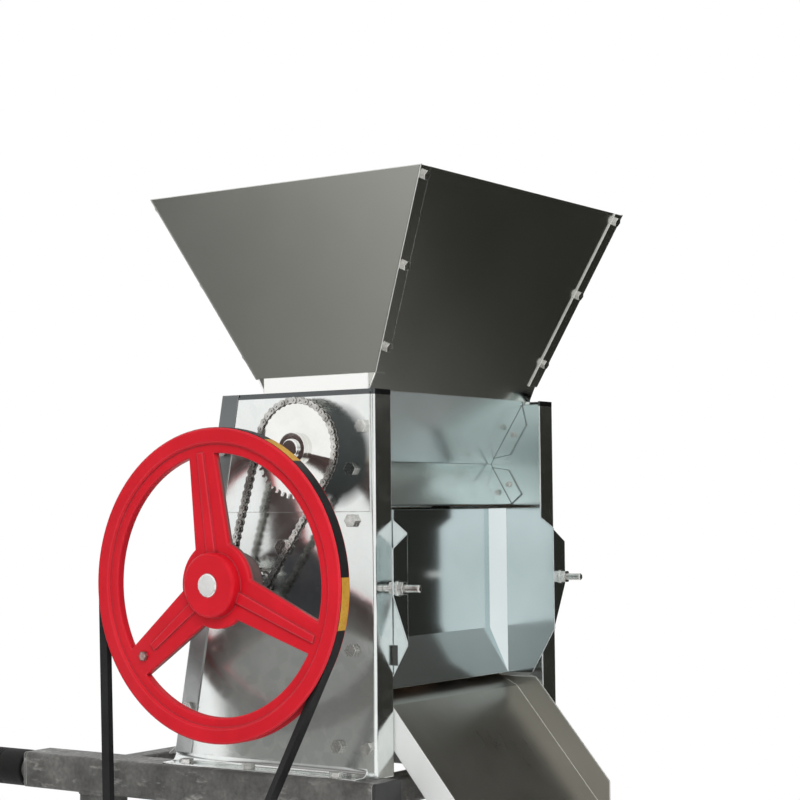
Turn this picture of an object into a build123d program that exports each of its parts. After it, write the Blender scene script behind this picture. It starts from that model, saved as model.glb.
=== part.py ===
"""A coffee pulper on its stand: hopper, throat, pulping drum and breast, flywheel, chain feed and motor."""

import os
from math import acos, asin, atan2, cos, degrees, hypot, pi, radians, sin, sqrt, tan

from build123d import *

os.makedirs("parts", exist_ok=True)

# Casing: X runs along the shafts, the flywheel is at -X, the chute faces -Y
casing_width = 370.0
casing_height = 402.0
casing_top_depth = 200.0
casing_base_depth = 272.0
plate = 2.0
sheet = 1.5
front_flange = 31.0
base_flange = 22.0
plate_bend = 3.0
base_bend = 8.0
flange_relief = 12.0
rear_lap = 21.0
panel_seam_height = 75.0
skin_outlet_height = 110.0

# Stand
stand_height = 430.0
rail_offset = 5.0
leg_spacing_x = casing_width + 2 * rail_offset
leg_spacing_y = 350.0
leg_size = 40.0
tube_wall = 3.0
tube_round = 4.0
rail_width = 46.0
rail_height = 40.0
rail_front = 40.0
rail_rear = 100.0
handle_diameter = 32.0
handle_length = 78.0
handle_drop = 2.0
grip_length = 72.0
grip_wall = 5.0
bar_size = 30.0
bar_height = 46.0
foot_width = 92.0
foot_depth = 70.0
foot_thickness = 6.0
foot_hole_diameter = 11.0
foot_hole_offset = 42.0
shelf_thickness = 4.0
shelf_depth = 176.0

# Drum and its shaft
axis_above_base = 199.0
axis_from_feet = 45.0
drum_diameter = 146.0
drum_side_space = 37.0
drum_length = casing_width - 2 * drum_side_space
knob_height = 4.0
knob_radius = 4.5
knob_rows = 14
knob_columns = 9
sleeve_wall = 1.5
drum_shell = 5.0
drum_disc = 6.0
drum_hub_radius = 26.0
shaft_diameter = 25.0
bearing_depth = 26.0
bearing_flange = 104.0
bearing_flange_thickness = 12.0
bearing_boss_radius = 38.0
ring_radius = 23.0
front_space = 83.0

# Throat and feed roller
throat_side_space = 22.0
throat_width = casing_width - 2 * throat_side_space
feed_shaft_diameter = 20.0
feed_roller_diameter = 26.0
feed_rib_height = 3.0
feed_ribs = 8
feed_lean = 26.0
throat_gap = 3.0
throat_breast_gap = 4.0
throat_tab = 18.0
feed_housing = 46.0

# Hopper
hopper_height = 221.0
hopper_top_width = 430.0
hopper_top_depth = 361.0
hopper_front_reach = 81.0
hopper_sheet = 1.5
hopper_skirt = 18.0
hopper_skirt_lap = 12.0
hopper_mouth_depth = 140.0
hopper_flange = 18.0
hopper_bolt_inset = 10.0
hopper_bolt_heights = (45.0, 126.0, 213.0)

# Breast
breast_side_space = 32.0
breast_width = casing_width - 2 * breast_side_space
breast_facet = 15.0
breast_top = 77.0
breast_crease = -64.0
breast_bottom = -117.0
breast_front = 94.0
breast_lower_lean = 16.0
cheek_front_top = 53.0
ear_width = 25.0
stud_height = -4.0
stud_inset = 17.0
stud_length = 45.0
shoe_gap = 3.0
shoe_wall = 3.0
shoe_height = 96.0

# Chute
chute_side_space = 33.0
chute_width = casing_width - 2 * chute_side_space
chute_slope = 50.0
chute_wall = 27.0
chute_reach = 44.0
chute_bend_drop = 132.0
chute_bend_front = 34.0

# Chain drive
chain_pitch = 8.0
small_teeth = 20
large_teeth = 40
chain_reach = 160.0
roller_radius = 2.5
pin_radius = 1.15
link_height = 7.1
link_waist = 5.4
link_plate = 0.8
sprocket_thickness = 2.6
chain_offset = 19.0

# Flywheel, belt and motor
flywheel_diameter = 330.0
flywheel_rim_width = 18.0
flywheel_rim_depth = 17.0
flywheel_lip_depth = 10.0
flywheel_boss_radius = 34.0
flywheel_hub_radius = 46.0
flywheel_hub_length = 50.0
flywheel_turn = 8.0
spoke_hub_width = 46.0
spoke_rim_width = 34.0
spoke_thickness = 9.0
spoke_recess = 4.0
spoke_ridge = 2.5
crank_radius = 126.0
belt_offset = 64.0
belt_top_width = 13.0
belt_height = 8.0
belt_above_pitch = 3.3
belt_proud = 0.4
belt_flank = 20.0
drive_ratio = 4.0
motor_behind_axis = 110.0
motor_shaft_height = 80.0
motor_shaft_diameter = 19.0
motor_barrel_radius = 62.0
motor_barrel_wall = 7.0
motor_barrel_length = 150.0
motor_fin = 8.0
motor_fins = 28
motor_bolt_across = 125.0
motor_bolt_along = 100.0

# Fits
clear = 0.2
run_fit = 0.05
side_fit = 0.3
screw_fit = 0.25

# Places that follow from the sizes
half = casing_width / 2
inner = half - plate
drum_radius = drum_diameter / 2
drum_y = -axis_from_feet
drum_z = stand_height + axis_above_base
front_y = drum_y - drum_radius - front_space
base_z = stand_height
top_z = stand_height + casing_height
rear_top_y = front_y + casing_top_depth
rear_base_y = front_y + casing_base_depth
throat_half = throat_width / 2
liner_outer = throat_half + sheet
shaft_r = shaft_diameter / 2
feed_r = feed_shaft_diameter / 2
hopper_base_half = liner_outer + clear + hopper_sheet
chain_x = -(half + chain_offset)
belt_x = -(half + belt_offset)
shelf_z = bar_height + bar_size + shelf_thickness
motor_y = drum_y + motor_behind_axis
motor_z = shelf_z + motor_shaft_height


def rear_y(z):
    """The slanted rear edge of the casing at height z."""
    return rear_top_y + (rear_base_y - rear_top_y) * (top_z - z) / casing_height


# Chain path: seats of both sprockets and the links of the two straight runs
small_pitch_r = chain_pitch / (2 * sin(pi / small_teeth))
large_pitch_r = chain_pitch / (2 * sin(pi / large_teeth))
wrap_links = (large_teeth + small_teeth) / 2
lean_links = ((large_teeth - small_teeth) / (2 * pi)) ** 2 * chain_pitch / chain_reach
chain_links = 2 * round(chain_reach / chain_pitch + (wrap_links + lean_links) / 2)
small_step = 2 * pi / small_teeth
large_step = 2 * pi / large_teeth
small_seats = small_teeth // 2 + 1
large_seats = large_teeth // 2 + 3
run_links = (chain_links - small_seats - large_seats) // 2 + 1
last_seat = pi / 2 + large_step
seat_rise = large_pitch_r * sin(last_seat) - small_pitch_r
chain_centres = sqrt((run_links * chain_pitch) ** 2 - seat_rise**2) - large_pitch_r * cos(last_seat)
chain_angle = pi / 2 + radians(feed_lean)
feed_y = drum_y + chain_centres * cos(chain_angle)
feed_z = drum_z + chain_centres * sin(chain_angle)

# Fasteners: across-corner radius of a hex is about 0.92 of the thread
m4 = 4.0
m6 = 6.0
m8 = 8.0
m10 = 10.0
hex_share = 0.92
head_share = 0.65
nut_share = 0.8

# Places of the bolts in the side plates, each as (y, z)
panel_bolts = [
    (front_y + 13, drum_z + 164),
    (front_y + 27, drum_z + 120),
    (rear_y(drum_z + 154) - rear_lap - 12, drum_z + 154),
]
seam_bolts = [(front_y + 28, drum_z + panel_seam_height - 9), (front_y + 29, drum_z - 68)]
bracket_bolts = [(front_y + 10, drum_z - 168), (front_y + 48, drum_z - 168)]
lap_bolts = [(rear_y(z) - rear_lap / 2, z) for z in (base_z + 60, drum_z, top_z - 60)]
housing_bolt = bearing_flange / 2 - 14
drum_bolts = [(drum_y + a * housing_bolt, drum_z + b * housing_bolt) for a in (-1, 1) for b in (-1, 1)]
feed_bolt = feed_housing / 2 - 7
feed_bolts = [(feed_y + a * feed_bolt, feed_z + a * feed_bolt) for a in (-1, 1)]
base_bolt_x = half + base_flange - 6
base_bolts = [
    (a * base_bolt_x, y) for a in (-1, 1) for y in (front_y + 40, drum_y, rear_base_y - 30)
]
stud_x = half - stud_inset
stud_z = drum_z + stud_height


def hex_bolts(plane, spots, size, length):
    """Hex bolts whose heads sit on the plane and whose shanks run the other way."""
    with BuildPart() as bolts:
        with BuildSketch(plane):
            with Locations(*spots):
                RegularPolygon(size * hex_share, 6)
        extrude(amount=size * head_share)
        with BuildSketch(plane):
            with Locations(*spots):
                Circle(size / 2)
        extrude(amount=-length)
    return bolts.part


def hex_nuts(plane, spots, size):
    """Hex nuts that sit on the plane's outer side."""
    with BuildPart() as nuts:
        with BuildSketch(plane):
            with Locations(*spots):
                RegularPolygon(size * hex_share, 6)
                Circle(size / 2 + run_fit, mode=Mode.SUBTRACT)
        extrude(amount=size * nut_share)
    return nuts.part


def side_plate(side):
    """Side plate with its front edge and top edge folded in and its foot folded out."""
    outer = side * half
    top_flange = half - hopper_base_half - clear
    with BuildPart() as folded:
        with BuildSketch(Plane.YZ.offset(outer)):
            Polygon(
                (front_y, base_z), (rear_base_y, base_z), (rear_top_y, top_z), (front_y, top_z), align=None
            )
        extrude(amount=-side * plate)
        with Locations((outer - side * front_flange / 2, front_y + plate / 2, (base_z + top_z) / 2)):
            Box(front_flange, plate, casing_height)
        top_length = casing_top_depth - flange_relief
        with Locations((outer - side * top_flange / 2, rear_top_y - top_length / 2, top_z - plate / 2)):
            Box(top_flange, top_length, plate)
        base_length = casing_base_depth - flange_relief
        with BuildSketch(Plane.XZ.offset(-rear_base_y)):
            with Locations((outer + side * base_flange / 2, base_z + plate / 2)):
                Rectangle(base_flange, plate)
            with Locations((outer + side * base_bend / 2, base_z + plate + base_bend / 2)):
                Rectangle(base_bend, base_bend)
            with Locations((outer + side * base_bend, base_z + plate + base_bend)):
                Circle(base_bend, mode=Mode.SUBTRACT)
        extrude(amount=base_length)
        front_bend = folded.edges().filter_by(Axis.Z).filter_by(
            lambda e: abs(e.center().X - outer) < 0.01 and abs(e.center().Y - front_y) < 0.01
        )
        fillet(front_bend, plate_bend)
        with BuildSketch(Plane.YZ.offset(outer)):
            with Locations((drum_y, drum_z)):
                Circle(shaft_r + 7)
            with Locations((feed_y, feed_z)):
                Circle(feed_r + 4)
            with Locations(*panel_bolts, *seam_bolts, *bracket_bolts, *lap_bolts):
                Circle(m8 / 2 + screw_fit)
            with Locations(*drum_bolts):
                Circle(m10 / 2 + screw_fit)
            with Locations(*feed_bolts):
                Circle(m6 / 2 + screw_fit)
        extrude(amount=plate * 2, both=True, mode=Mode.SUBTRACT)
        with BuildSketch(Plane.XY.offset(base_z)):
            with Locations(*base_bolts):
                Circle(m8 / 2 + screw_fit)
        extrude(amount=plate * 2, both=True, mode=Mode.SUBTRACT)
        with BuildSketch(Plane.XZ.offset(-front_y)):
            with Locations((side * stud_x, stud_z)):
                Circle(m8 / 2 + screw_fit)
        extrude(amount=plate * 2, both=True, mode=Mode.SUBTRACT)
    return folded.part


def upper_panel(side):
    """Panel over the upper part of a side plate, from the seam to the top."""
    seam_z = drum_z + panel_seam_height
    cap_z = top_z - 3
    with BuildPart() as panel:
        with BuildSketch(Plane.YZ.offset(side * half)):
            Polygon(
                (front_y + plate_bend + 1, seam_z),
                (rear_y(seam_z) - rear_lap - 1, seam_z),
                (rear_y(cap_z) - rear_lap - 1, cap_z),
                (front_y + plate_bend + 1, cap_z),
                align=None,
            )
            with Locations((feed_y, feed_z)):
                Circle(feed_r + 4, mode=Mode.SUBTRACT)
            with Locations(*panel_bolts):
                Circle(m8 / 2 + screw_fit, mode=Mode.SUBTRACT)
            with Locations(*feed_bolts):
                Circle(m6 / 2 + screw_fit, mode=Mode.SUBTRACT)
        extrude(amount=side * sheet)
    return panel.part


left_side_plate = side_plate(-1)
left_side_plate.label = "left_side_plate"
export_step(left_side_plate, "parts/left_side_plate.step")

right_side_plate = side_plate(1)
right_side_plate.label = "right_side_plate"
export_step(right_side_plate, "parts/right_side_plate.step")

with BuildPart() as upper_panels:
    add([upper_panel(-1), upper_panel(1)])
upper_panels.part.label = "upper_panels"
export_step(upper_panels.part, "parts/upper_panels.step")

# Hopper planes: each sheet leans from the mouth out to the rim
hopper_top_z = top_z + hopper_height
skirt_z = top_z + hopper_skirt
mouth_front_y = front_y + 20
mouth_rear_y = mouth_front_y + hopper_mouth_depth
rim_front_y = front_y - hopper_front_reach
rim_rear_y = rim_front_y + hopper_top_depth
rim_half = hopper_top_width / 2
front_run = mouth_front_y - rim_front_y
rear_run = rim_rear_y - mouth_rear_y
side_run = rim_half - hopper_base_half
side_rise = hopper_height - hopper_skirt
front_slant = hypot(front_run, hopper_height)
rear_slant = hypot(rear_run, hopper_height)
side_slant = hypot(side_run, side_rise)
side_wall_x = hopper_sheet * side_slant / side_rise
front_plane = Plane(
    origin=(0, mouth_front_y, top_z), x_dir=(1, 0, 0), z_dir=(0, -hopper_height, -front_run)
)
rear_plane = Plane(
    origin=(0, mouth_rear_y, top_z), x_dir=(-1, 0, 0), z_dir=(0, hopper_height, -rear_run)
)


def hopper_half(height):
    """Half width of the hopper's outside at a height above its mouth."""
    return hopper_base_half + side_run * max(0, height - hopper_skirt) / side_rise


def flange_spots(slant):
    """Bolt places on an end sheet's plane, three up each corner."""
    return [
        (a * (hopper_half(h) - hopper_bolt_inset), h * slant / hopper_height)
        for a in (-1, 1)
        for h in hopper_bolt_heights
    ]


def end_sheet(plane, slant):
    """Front or rear sheet, which fits between the two side sheets."""
    rows = [(h, h * slant / hopper_height) for h in (0, hopper_skirt, hopper_height)]
    right = [(hopper_half(h) - side_wall_x - clear, w) for h, w in rows]
    left = [(-u, w) for u, w in reversed(right)]
    with BuildPart() as leaf:
        with BuildSketch(plane):
            Polygon(*right, *left, align=None)
            with Locations(*flange_spots(slant)):
                Circle(m6 / 2 + screw_fit, mode=Mode.SUBTRACT)
        extrude(amount=-hopper_sheet)
    return leaf.part


def side_sheet(side):
    """Side sheet with a skirt into the casing and flanges lapped over the end sheets."""
    plane = Plane(
        origin=(side * hopper_base_half, 0, skirt_z),
        x_dir=(0, side, 0),
        z_dir=(side * side_rise, 0, -side_run),
    )
    low_share = 1 - hopper_skirt / hopper_height
    low_front = rim_front_y + front_run * low_share - hopper_sheet * front_slant / hopper_height
    low_rear = rim_rear_y - rear_run * low_share + hopper_sheet * rear_slant / hopper_height
    high_front = rim_front_y - hopper_sheet * front_slant / hopper_height
    high_rear = rim_rear_y + hopper_sheet * rear_slant / hopper_height
    with BuildPart() as leaf:
        with BuildSketch(plane):
            Polygon(
                (side * low_front, 0),
                (side * low_rear, 0),
                (side * high_rear, side_slant),
                (side * high_front, side_slant),
                align=None,
            )
        extrude(amount=-hopper_sheet)
        skirt_height = hopper_skirt + hopper_skirt_lap + 1
        with Locations(
            (
                side * (hopper_base_half - hopper_sheet / 2),
                (mouth_front_y + mouth_rear_y) / 2,
                skirt_z + 1 - skirt_height / 2,
            )
        ):
            Box(hopper_sheet, hopper_mouth_depth, skirt_height)
        for end_plane, slant, turn in ((front_plane, front_slant, 1), (rear_plane, rear_slant, -1)):
            low_w = hopper_skirt * slant / hopper_height
            edge = side * turn
            with BuildSketch(end_plane):
                Polygon(
                    (edge * hopper_base_half, low_w),
                    (edge * rim_half, slant),
                    (edge * (rim_half - hopper_flange), slant),
                    (edge * (hopper_base_half - hopper_flange), low_w),
                    align=None,
                )
                with Locations(*flange_spots(slant)):
                    Circle(m6 / 2 + screw_fit, mode=Mode.SUBTRACT)
            extrude(amount=hopper_sheet)
    return leaf.part


hopper_left_sheet = side_sheet(-1)
hopper_left_sheet.label = "hopper_left_sheet"
export_step(hopper_left_sheet, "parts/hopper_left_sheet.step")

hopper_right_sheet = side_sheet(1)
hopper_right_sheet.label = "hopper_right_sheet"
export_step(hopper_right_sheet, "parts/hopper_right_sheet.step")

hopper_front_sheet = end_sheet(front_plane, front_slant)
hopper_front_sheet.label = "hopper_front_sheet"
export_step(hopper_front_sheet, "parts/hopper_front_sheet.step")

hopper_rear_sheet = end_sheet(rear_plane, rear_slant)
hopper_rear_sheet.label = "hopper_rear_sheet"
export_step(hopper_rear_sheet, "parts/hopper_rear_sheet.step")

# Corner bolts of the hopper, heads outside and nuts inside
hopper_grip = 2 * hopper_sheet
front_corner_bolts = hex_bolts(front_plane.offset(hopper_sheet), flange_spots(front_slant), m6, hopper_grip + 8)
rear_corner_bolts = hex_bolts(rear_plane.offset(hopper_sheet), flange_spots(rear_slant), m6, hopper_grip + 8)
with BuildPart() as hopper_bolts:
    add([front_corner_bolts, rear_corner_bolts])
hopper_bolts.part.label = "hopper_bolts"
export_step(hopper_bolts.part, "parts/hopper_bolts.step")


def inside_of(plane):
    """The inner face of a hopper end sheet, facing into the hopper."""
    return Plane(plane.offset(-hopper_sheet).origin, x_dir=plane.x_dir, z_dir=-plane.z_dir)


front_corner_nuts = hex_nuts(inside_of(front_plane), [(u, -w) for u, w in flange_spots(front_slant)], m6)
rear_corner_nuts = hex_nuts(inside_of(rear_plane), [(u, -w) for u, w in flange_spots(rear_slant)], m6)
with BuildPart() as hopper_nuts:
    add([front_corner_nuts, rear_corner_nuts])
hopper_nuts.part.label = "hopper_nuts"
export_step(hopper_nuts.part, "parts/hopper_nuts.step")

# Rear wall: slanted sheet lapped round both side plates, open below for the skins
outlet_z = base_z + skin_outlet_height
lap_foot_z = base_z + plate + base_bend + 1
strip_front_y = mouth_rear_y + sheet + 1
strip_half = hopper_base_half
with BuildPart() as rear_wall:
    with BuildSketch(Plane.YZ):
        Polygon(
            (rear_top_y, top_z),
            (rear_top_y + sheet, top_z),
            (rear_y(outlet_z) + sheet, outlet_z),
            (rear_y(outlet_z), outlet_z),
            align=None,
        )
    extrude(amount=half + sheet, both=True)
    for side in (-1, 1):
        with BuildSketch(Plane.YZ.offset(side * half)):
            Polygon(
                (rear_top_y - rear_lap, top_z),
                (rear_top_y + sheet, top_z),
                (rear_y(lap_foot_z) + sheet, lap_foot_z),
                (rear_y(lap_foot_z) - rear_lap, lap_foot_z),
                align=None,
            )
            with Locations(*lap_bolts):
                Circle(m8 / 2 + screw_fit, mode=Mode.SUBTRACT)
        extrude(amount=side * sheet)
    with Locations((0, (strip_front_y + rear_top_y + sheet) / 2, top_z - sheet / 2)):
        Box(2 * strip_half, rear_top_y + sheet - strip_front_y, sheet)
rear_wall.part.label = "rear_wall"
export_step(rear_wall.part, "parts/rear_wall.step")

# Throat: V-bent plate in front of the feed roller, its limbs as (y, z) points
throat_top = (mouth_front_y + 2.5, top_z + 6)
throat_low = (front_y + 44, drum_z + breast_top + throat_breast_gap)
roller_r = feed_roller_diameter / 2
keep_off = roller_r + throat_gap + sheet
to_feed = (feed_y - throat_top[0], feed_z - throat_top[1])
limb_angle = atan2(to_feed[1], to_feed[0]) - asin(keep_off / hypot(*to_feed))
crease_z = feed_z - 0.75 * (roller_r + throat_gap)
crease_y = throat_top[0] + (crease_z - throat_top[1]) / tan(limb_angle)
throat_crease = (crease_y, crease_z)
plate_half = throat_half - clear
bend_shift = sheet * 1.2


def along(start, end, share, out=0.0):
    """A point on the line from start to end, moved out to the left of its way."""
    dy, dz = end[0] - start[0], end[1] - start[1]
    length = hypot(dy, dz)
    return (start[0] + dy * share - dz / length * out, start[1] + dz * share + dy / length * out)


tab_bolts = [
    along(throat_top, throat_crease, 0.5, -throat_tab / 2),
    along(throat_crease, throat_low, 0.6, -throat_tab / 2),
]
with BuildPart() as throat_plate:
    with BuildSketch(Plane.YZ):
        Polygon(
            throat_top,
            throat_crease,
            throat_low,
            (throat_low[0] + bend_shift, throat_low[1]),
            (throat_crease[0] + bend_shift, throat_crease[1]),
            (throat_top[0] + bend_shift, throat_top[1]),
            align=None,
        )
    extrude(amount=plate_half, both=True)
    for side in (-1, 1):
        with BuildSketch(Plane.YZ.offset(side * plate_half)):
            Polygon(
                along(throat_top, throat_crease, 0.12),
                along(throat_top, throat_crease, 0.92),
                along(throat_top, throat_crease, 0.74, -throat_tab),
                along(throat_top, throat_crease, 0.3, -throat_tab),
                align=None,
            )
            Polygon(
                along(throat_crease, throat_low, 0.08),
                along(throat_crease, throat_low, 0.98),
                along(throat_crease, throat_low, 0.94, -throat_tab),
                along(throat_crease, throat_low, 0.34, -throat_tab),
                align=None,
            )
            with Locations(*tab_bolts):
                Circle(m4 / 2 + screw_fit, mode=Mode.SUBTRACT)
        extrude(amount=-side * sheet)
throat_plate.part.label = "throat_plate"
export_step(throat_plate.part, "parts/throat_plate.step")


def throat_liner(side):
    """Liner that closes one end of the throat between the front flange and the back plate."""
    low_z = drum_z + breast_top + throat_breast_gap - 1
    cap_z = top_z - plate - 1
    with BuildPart() as liner:
        with BuildSketch(Plane.YZ.offset(side * throat_half)):
            Polygon(
                (front_y + plate + clear, low_z),
                (mouth_rear_y + 30, low_z),
                (mouth_rear_y + 30, cap_z - 30),
                (mouth_rear_y, cap_z),
                (front_y + plate + clear, cap_z),
                align=None,
            )
            with Locations((feed_y, feed_z)):
                Circle(feed_r + 2, mode=Mode.SUBTRACT)
            with Locations(*tab_bolts):
                Circle(m4 / 2 + screw_fit, mode=Mode.SUBTRACT)
        extrude(amount=side * sheet)
    return liner.part


with BuildPart() as throat_liners:
    add([throat_liner(-1), throat_liner(1)])
throat_liners.part.label = "throat_liners"
export_step(throat_liners.part, "parts/throat_liners.step")

# Back plate of the throat, from the hopper's rear sheet down to the drum
back_plate_low = drum_z + drum_radius + 5
back_plate_high = top_z - 1
with BuildPart() as throat_back_plate:
    with Locations((0, mouth_rear_y + clear + sheet / 2, (back_plate_low + back_plate_high) / 2)):
        Box(2 * plate_half, sheet, back_plate_high - back_plate_low)
throat_back_plate.part.label = "throat_back_plate"
export_step(throat_back_plate.part, "parts/throat_back_plate.step")

# Screws of the throat tabs, heads in the throat and nuts behind the liners
with BuildPart() as throat_screws:
    for side in (-1, 1):
        seat = side * (plate_half - sheet)
        with BuildSketch(Plane.YZ.offset(seat)):
            with Locations(*tab_bolts):
                RegularPolygon(m4 * hex_share, 6)
        extrude(amount=-side * m4 * head_share)
        with BuildSketch(Plane.YZ.offset(seat)):
            with Locations(*tab_bolts):
                Circle(m4 / 2)
        extrude(amount=side * (sheet + clear + sheet + m4))
        with BuildSketch(Plane.YZ.offset(side * liner_outer)):
            with Locations(*tab_bolts):
                RegularPolygon(m4 * hex_share, 6)
        extrude(amount=side * m4 * nut_share)
throat_screws.part.label = "throat_screws"
export_step(throat_screws.part, "parts/throat_screws.step")

# Breast plate: back sheet, 45 degree facets run out to a point, cheeks with ears, lower lip bent to the front
breast_half = breast_width / 2
cheek = breast_half - sheet
back_y = drum_y - breast_front
cheek_y = front_y - 18
facet_y = back_y - breast_facet
crease_at = drum_z + breast_crease
bottom_at = drum_z + breast_bottom
lip_y = back_y - breast_lower_lean
ear_z = drum_z + cheek_front_top
notch_front = front_y - 5.5
with BuildPart() as breast_plate:
    with BuildSketch(Plane.XY.offset(crease_at)):
        Polygon(
            (-breast_half, cheek_y),
            (-breast_half, facet_y),
            (-breast_half + breast_facet, back_y + sheet),
            (breast_half - breast_facet, back_y + sheet),
            (breast_half, facet_y),
            (breast_half, cheek_y),
            (cheek, cheek_y),
            (cheek, facet_y - sheet / 2),
            (cheek - breast_facet + sheet / 2, back_y),
            (-cheek + breast_facet - sheet / 2, back_y),
            (-cheek, facet_y - sheet / 2),
            (-cheek, cheek_y),
            align=None,
        )
    extrude(amount=breast_top - breast_crease)
    for side in (-1, 1):
        with BuildSketch(Plane.YZ.offset(side * breast_half)):
            Polygon(
                (cheek_y, crease_at + 1),
                (cheek_y, crease_at),
                (lip_y - 33, bottom_at),
                (lip_y, bottom_at),
                (back_y + sheet, crease_at),
                (back_y + sheet, crease_at + 1),
                align=None,
            )
        extrude(amount=-side * sheet)
        with BuildSketch(Plane.XY.offset(crease_at)):
            Polygon(
                (side * (breast_half - breast_facet), back_y + sheet),
                (side * breast_half, back_y + sheet),
                (side * breast_half, facet_y),
                align=None,
            )
        extrude(amount=sheet)
    with BuildSketch(Plane.YZ):
        Polygon(
            (back_y, crease_at + 1),
            (back_y, crease_at),
            (lip_y, bottom_at),
            (lip_y + sheet, bottom_at),
            (back_y + sheet, crease_at),
            (back_y + sheet, crease_at + 1),
            align=None,
        )
    extrude(amount=breast_half, both=True)
    for side in (-1, 1):
        with BuildSketch(Plane.XY.offset(crease_at), mode=Mode.PRIVATE) as facet_foot:
            Polygon(
                (side * (cheek - breast_facet + sheet / 2), back_y),
                (side * cheek, back_y),
                (side * cheek, facet_y - sheet / 2),
                align=None,
            )
        loft(sections=[facet_foot.sketch.face(), Vertex(side * cheek, lip_y, bottom_at)], ruled=True)
    with BuildSketch(Plane.YZ):
        Polygon(
            (cheek_y - 1, ear_z),
            (cheek_y, ear_z),
            (front_y - 1, ear_z + 13),
            (front_y - 1, drum_z + breast_top + 1),
            (cheek_y - 1, drum_z + breast_top + 1),
            align=None,
        )
    extrude(amount=breast_half + 1, both=True, mode=Mode.SUBTRACT)
    with BuildSketch(Plane.YZ.offset(-breast_half - 1)):
        with Locations((front_y + 2.5, crease_at - 10.5)):
            Rectangle(2 * (front_y + 2.5 - notch_front), 21)
    extrude(amount=sheet + 2, mode=Mode.SUBTRACT)
    for side in (-1, 1):
        root = side * breast_half
        tip = side * (breast_half + ear_width)
        with BuildSketch(Plane.XZ.offset(-cheek_y)):
            Polygon(
                (root - side * sheet, ear_z - 2),
                (root, ear_z - 2),
                (tip, ear_z - 16),
                (tip, ear_z - 65),
                (root, crease_at + 4),
                (root - side * sheet, crease_at + 4),
                align=None,
            )
            with Locations((side * stud_x, stud_z)):
                Circle(m8 / 2 + 0.6, mode=Mode.SUBTRACT)
        extrude(amount=-sheet)
breast_plate.part.label = "breast_plate"
export_step(breast_plate.part, "parts/breast_plate.step")

# Breast shoe: hollowed to the drum, with grooves that the beans run down
shoe_back = back_y + sheet
shoe_face = drum_y - drum_radius - shoe_gap
shoe_half = drum_length / 2 - 6
groove_pitch = 36.0
with BuildPart() as breast_shoe:
    with Locations((0, (shoe_back + shoe_face + 18) / 2, drum_z)):
        Box(2 * shoe_half, shoe_face + 18 - shoe_back, shoe_height)
    with BuildSketch(Plane.YZ):
        with Locations((drum_y, drum_z)):
            Circle(drum_radius + shoe_gap)
    extrude(amount=shoe_half + 1, both=True, mode=Mode.SUBTRACT)
    with BuildSketch(Plane.XY.offset(drum_z - shoe_height / 2)):
        with Locations((0, shoe_face)):
            with GridLocations(groove_pitch, 0, 7, 1):
                Circle(shoe_wall)
    extrude(amount=shoe_height, mode=Mode.SUBTRACT)
breast_shoe.part.label = "breast_shoe"
export_step(breast_shoe.part, "parts/breast_shoe.step")

# Studs through the front flanges, and the nuts and washers that hold the ears on them
washer = 1.6
nut_height = m8 * nut_share
with BuildPart() as adjusting_studs:
    stud_spots = [(side * stud_x, stud_z) for side in (-1, 1)]
    with BuildSketch(Plane.XZ.offset(-front_y - plate)):
        with Locations(*stud_spots):
            RegularPolygon(m8 * hex_share, 6)
    extrude(amount=-m8 * head_share)
    with BuildSketch(Plane.XZ.offset(-front_y - plate)):
        with Locations(*stud_spots):
            Circle(m8 / 2)
    extrude(amount=stud_length + plate)
    chamfer(adjusting_studs.edges().group_by(Axis.Y)[0], 1)
adjusting_studs.part.label = "adjusting_studs"
export_step(adjusting_studs.part, "parts/adjusting_studs.step")

with BuildPart() as adjusting_nuts:
    for face, way in ((cheek_y, 1), (cheek_y + sheet, -1)):
        with BuildSketch(Plane.XZ.offset(-face)):
            with Locations(*stud_spots):
                Circle(m8)
                Circle(m8 / 2 + side_fit, mode=Mode.SUBTRACT)
        extrude(amount=way * washer)
        with BuildSketch(Plane.XZ.offset(-face + way * washer)):
            with Locations(*stud_spots):
                RegularPolygon(m8 * hex_share, 6)
                Circle(m8 / 2 + side_fit, mode=Mode.SUBTRACT)
        extrude(amount=way * nut_height)
adjusting_nuts.part.label = "adjusting_nuts"
export_step(adjusting_nuts.part, "parts/adjusting_nuts.step")

# Discharge chute: shallow floor under the drum, then a steep open channel to the front
chute_half = chute_width / 2
bend_y = front_y + chute_bend_front
bend_z = drum_z - chute_bend_drop
floor_rear_y = drum_y - 14
floor_rear_z = drum_z - drum_radius - 7
slope = tan(radians(chute_slope))
spout_y = front_y - 2 * chute_reach
spout_z = bend_z - (bend_y - spout_y) * slope
rim_up = chute_wall / cos(radians(chute_slope))
rim_z = bottom_at - 4
rim_y = bend_y - (bend_z + rim_up - rim_z) / slope
floor_rim_y = bend_y + (rim_z - bend_z) * (floor_rear_y - bend_y) / (floor_rear_z - bend_z)
floor_drop = sheet / cos(radians(chute_slope))
with BuildPart() as discharge_chute:
    with BuildSketch(Plane.YZ):
        Polygon(
            (floor_rear_y, floor_rear_z),
            (bend_y, bend_z),
            (spout_y, spout_z),
            (spout_y, spout_z - floor_drop),
            (bend_y, bend_z - floor_drop),
            (floor_rear_y, floor_rear_z - sheet),
            align=None,
        )
    extrude(amount=chute_half, both=True)
    for side in (-1, 1):
        with BuildSketch(Plane.YZ.offset(side * chute_half)):
            Polygon(
                (floor_rim_y, rim_z),
                (bend_y, bend_z - floor_drop),
                (spout_y, spout_z - floor_drop),
                (spout_y, spout_z + rim_up),
                (rim_y, rim_z),
                align=None,
            )
        extrude(amount=-side * sheet)
discharge_chute.part.label = "discharge_chute"
export_step(discharge_chute.part, "parts/discharge_chute.step")

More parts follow.
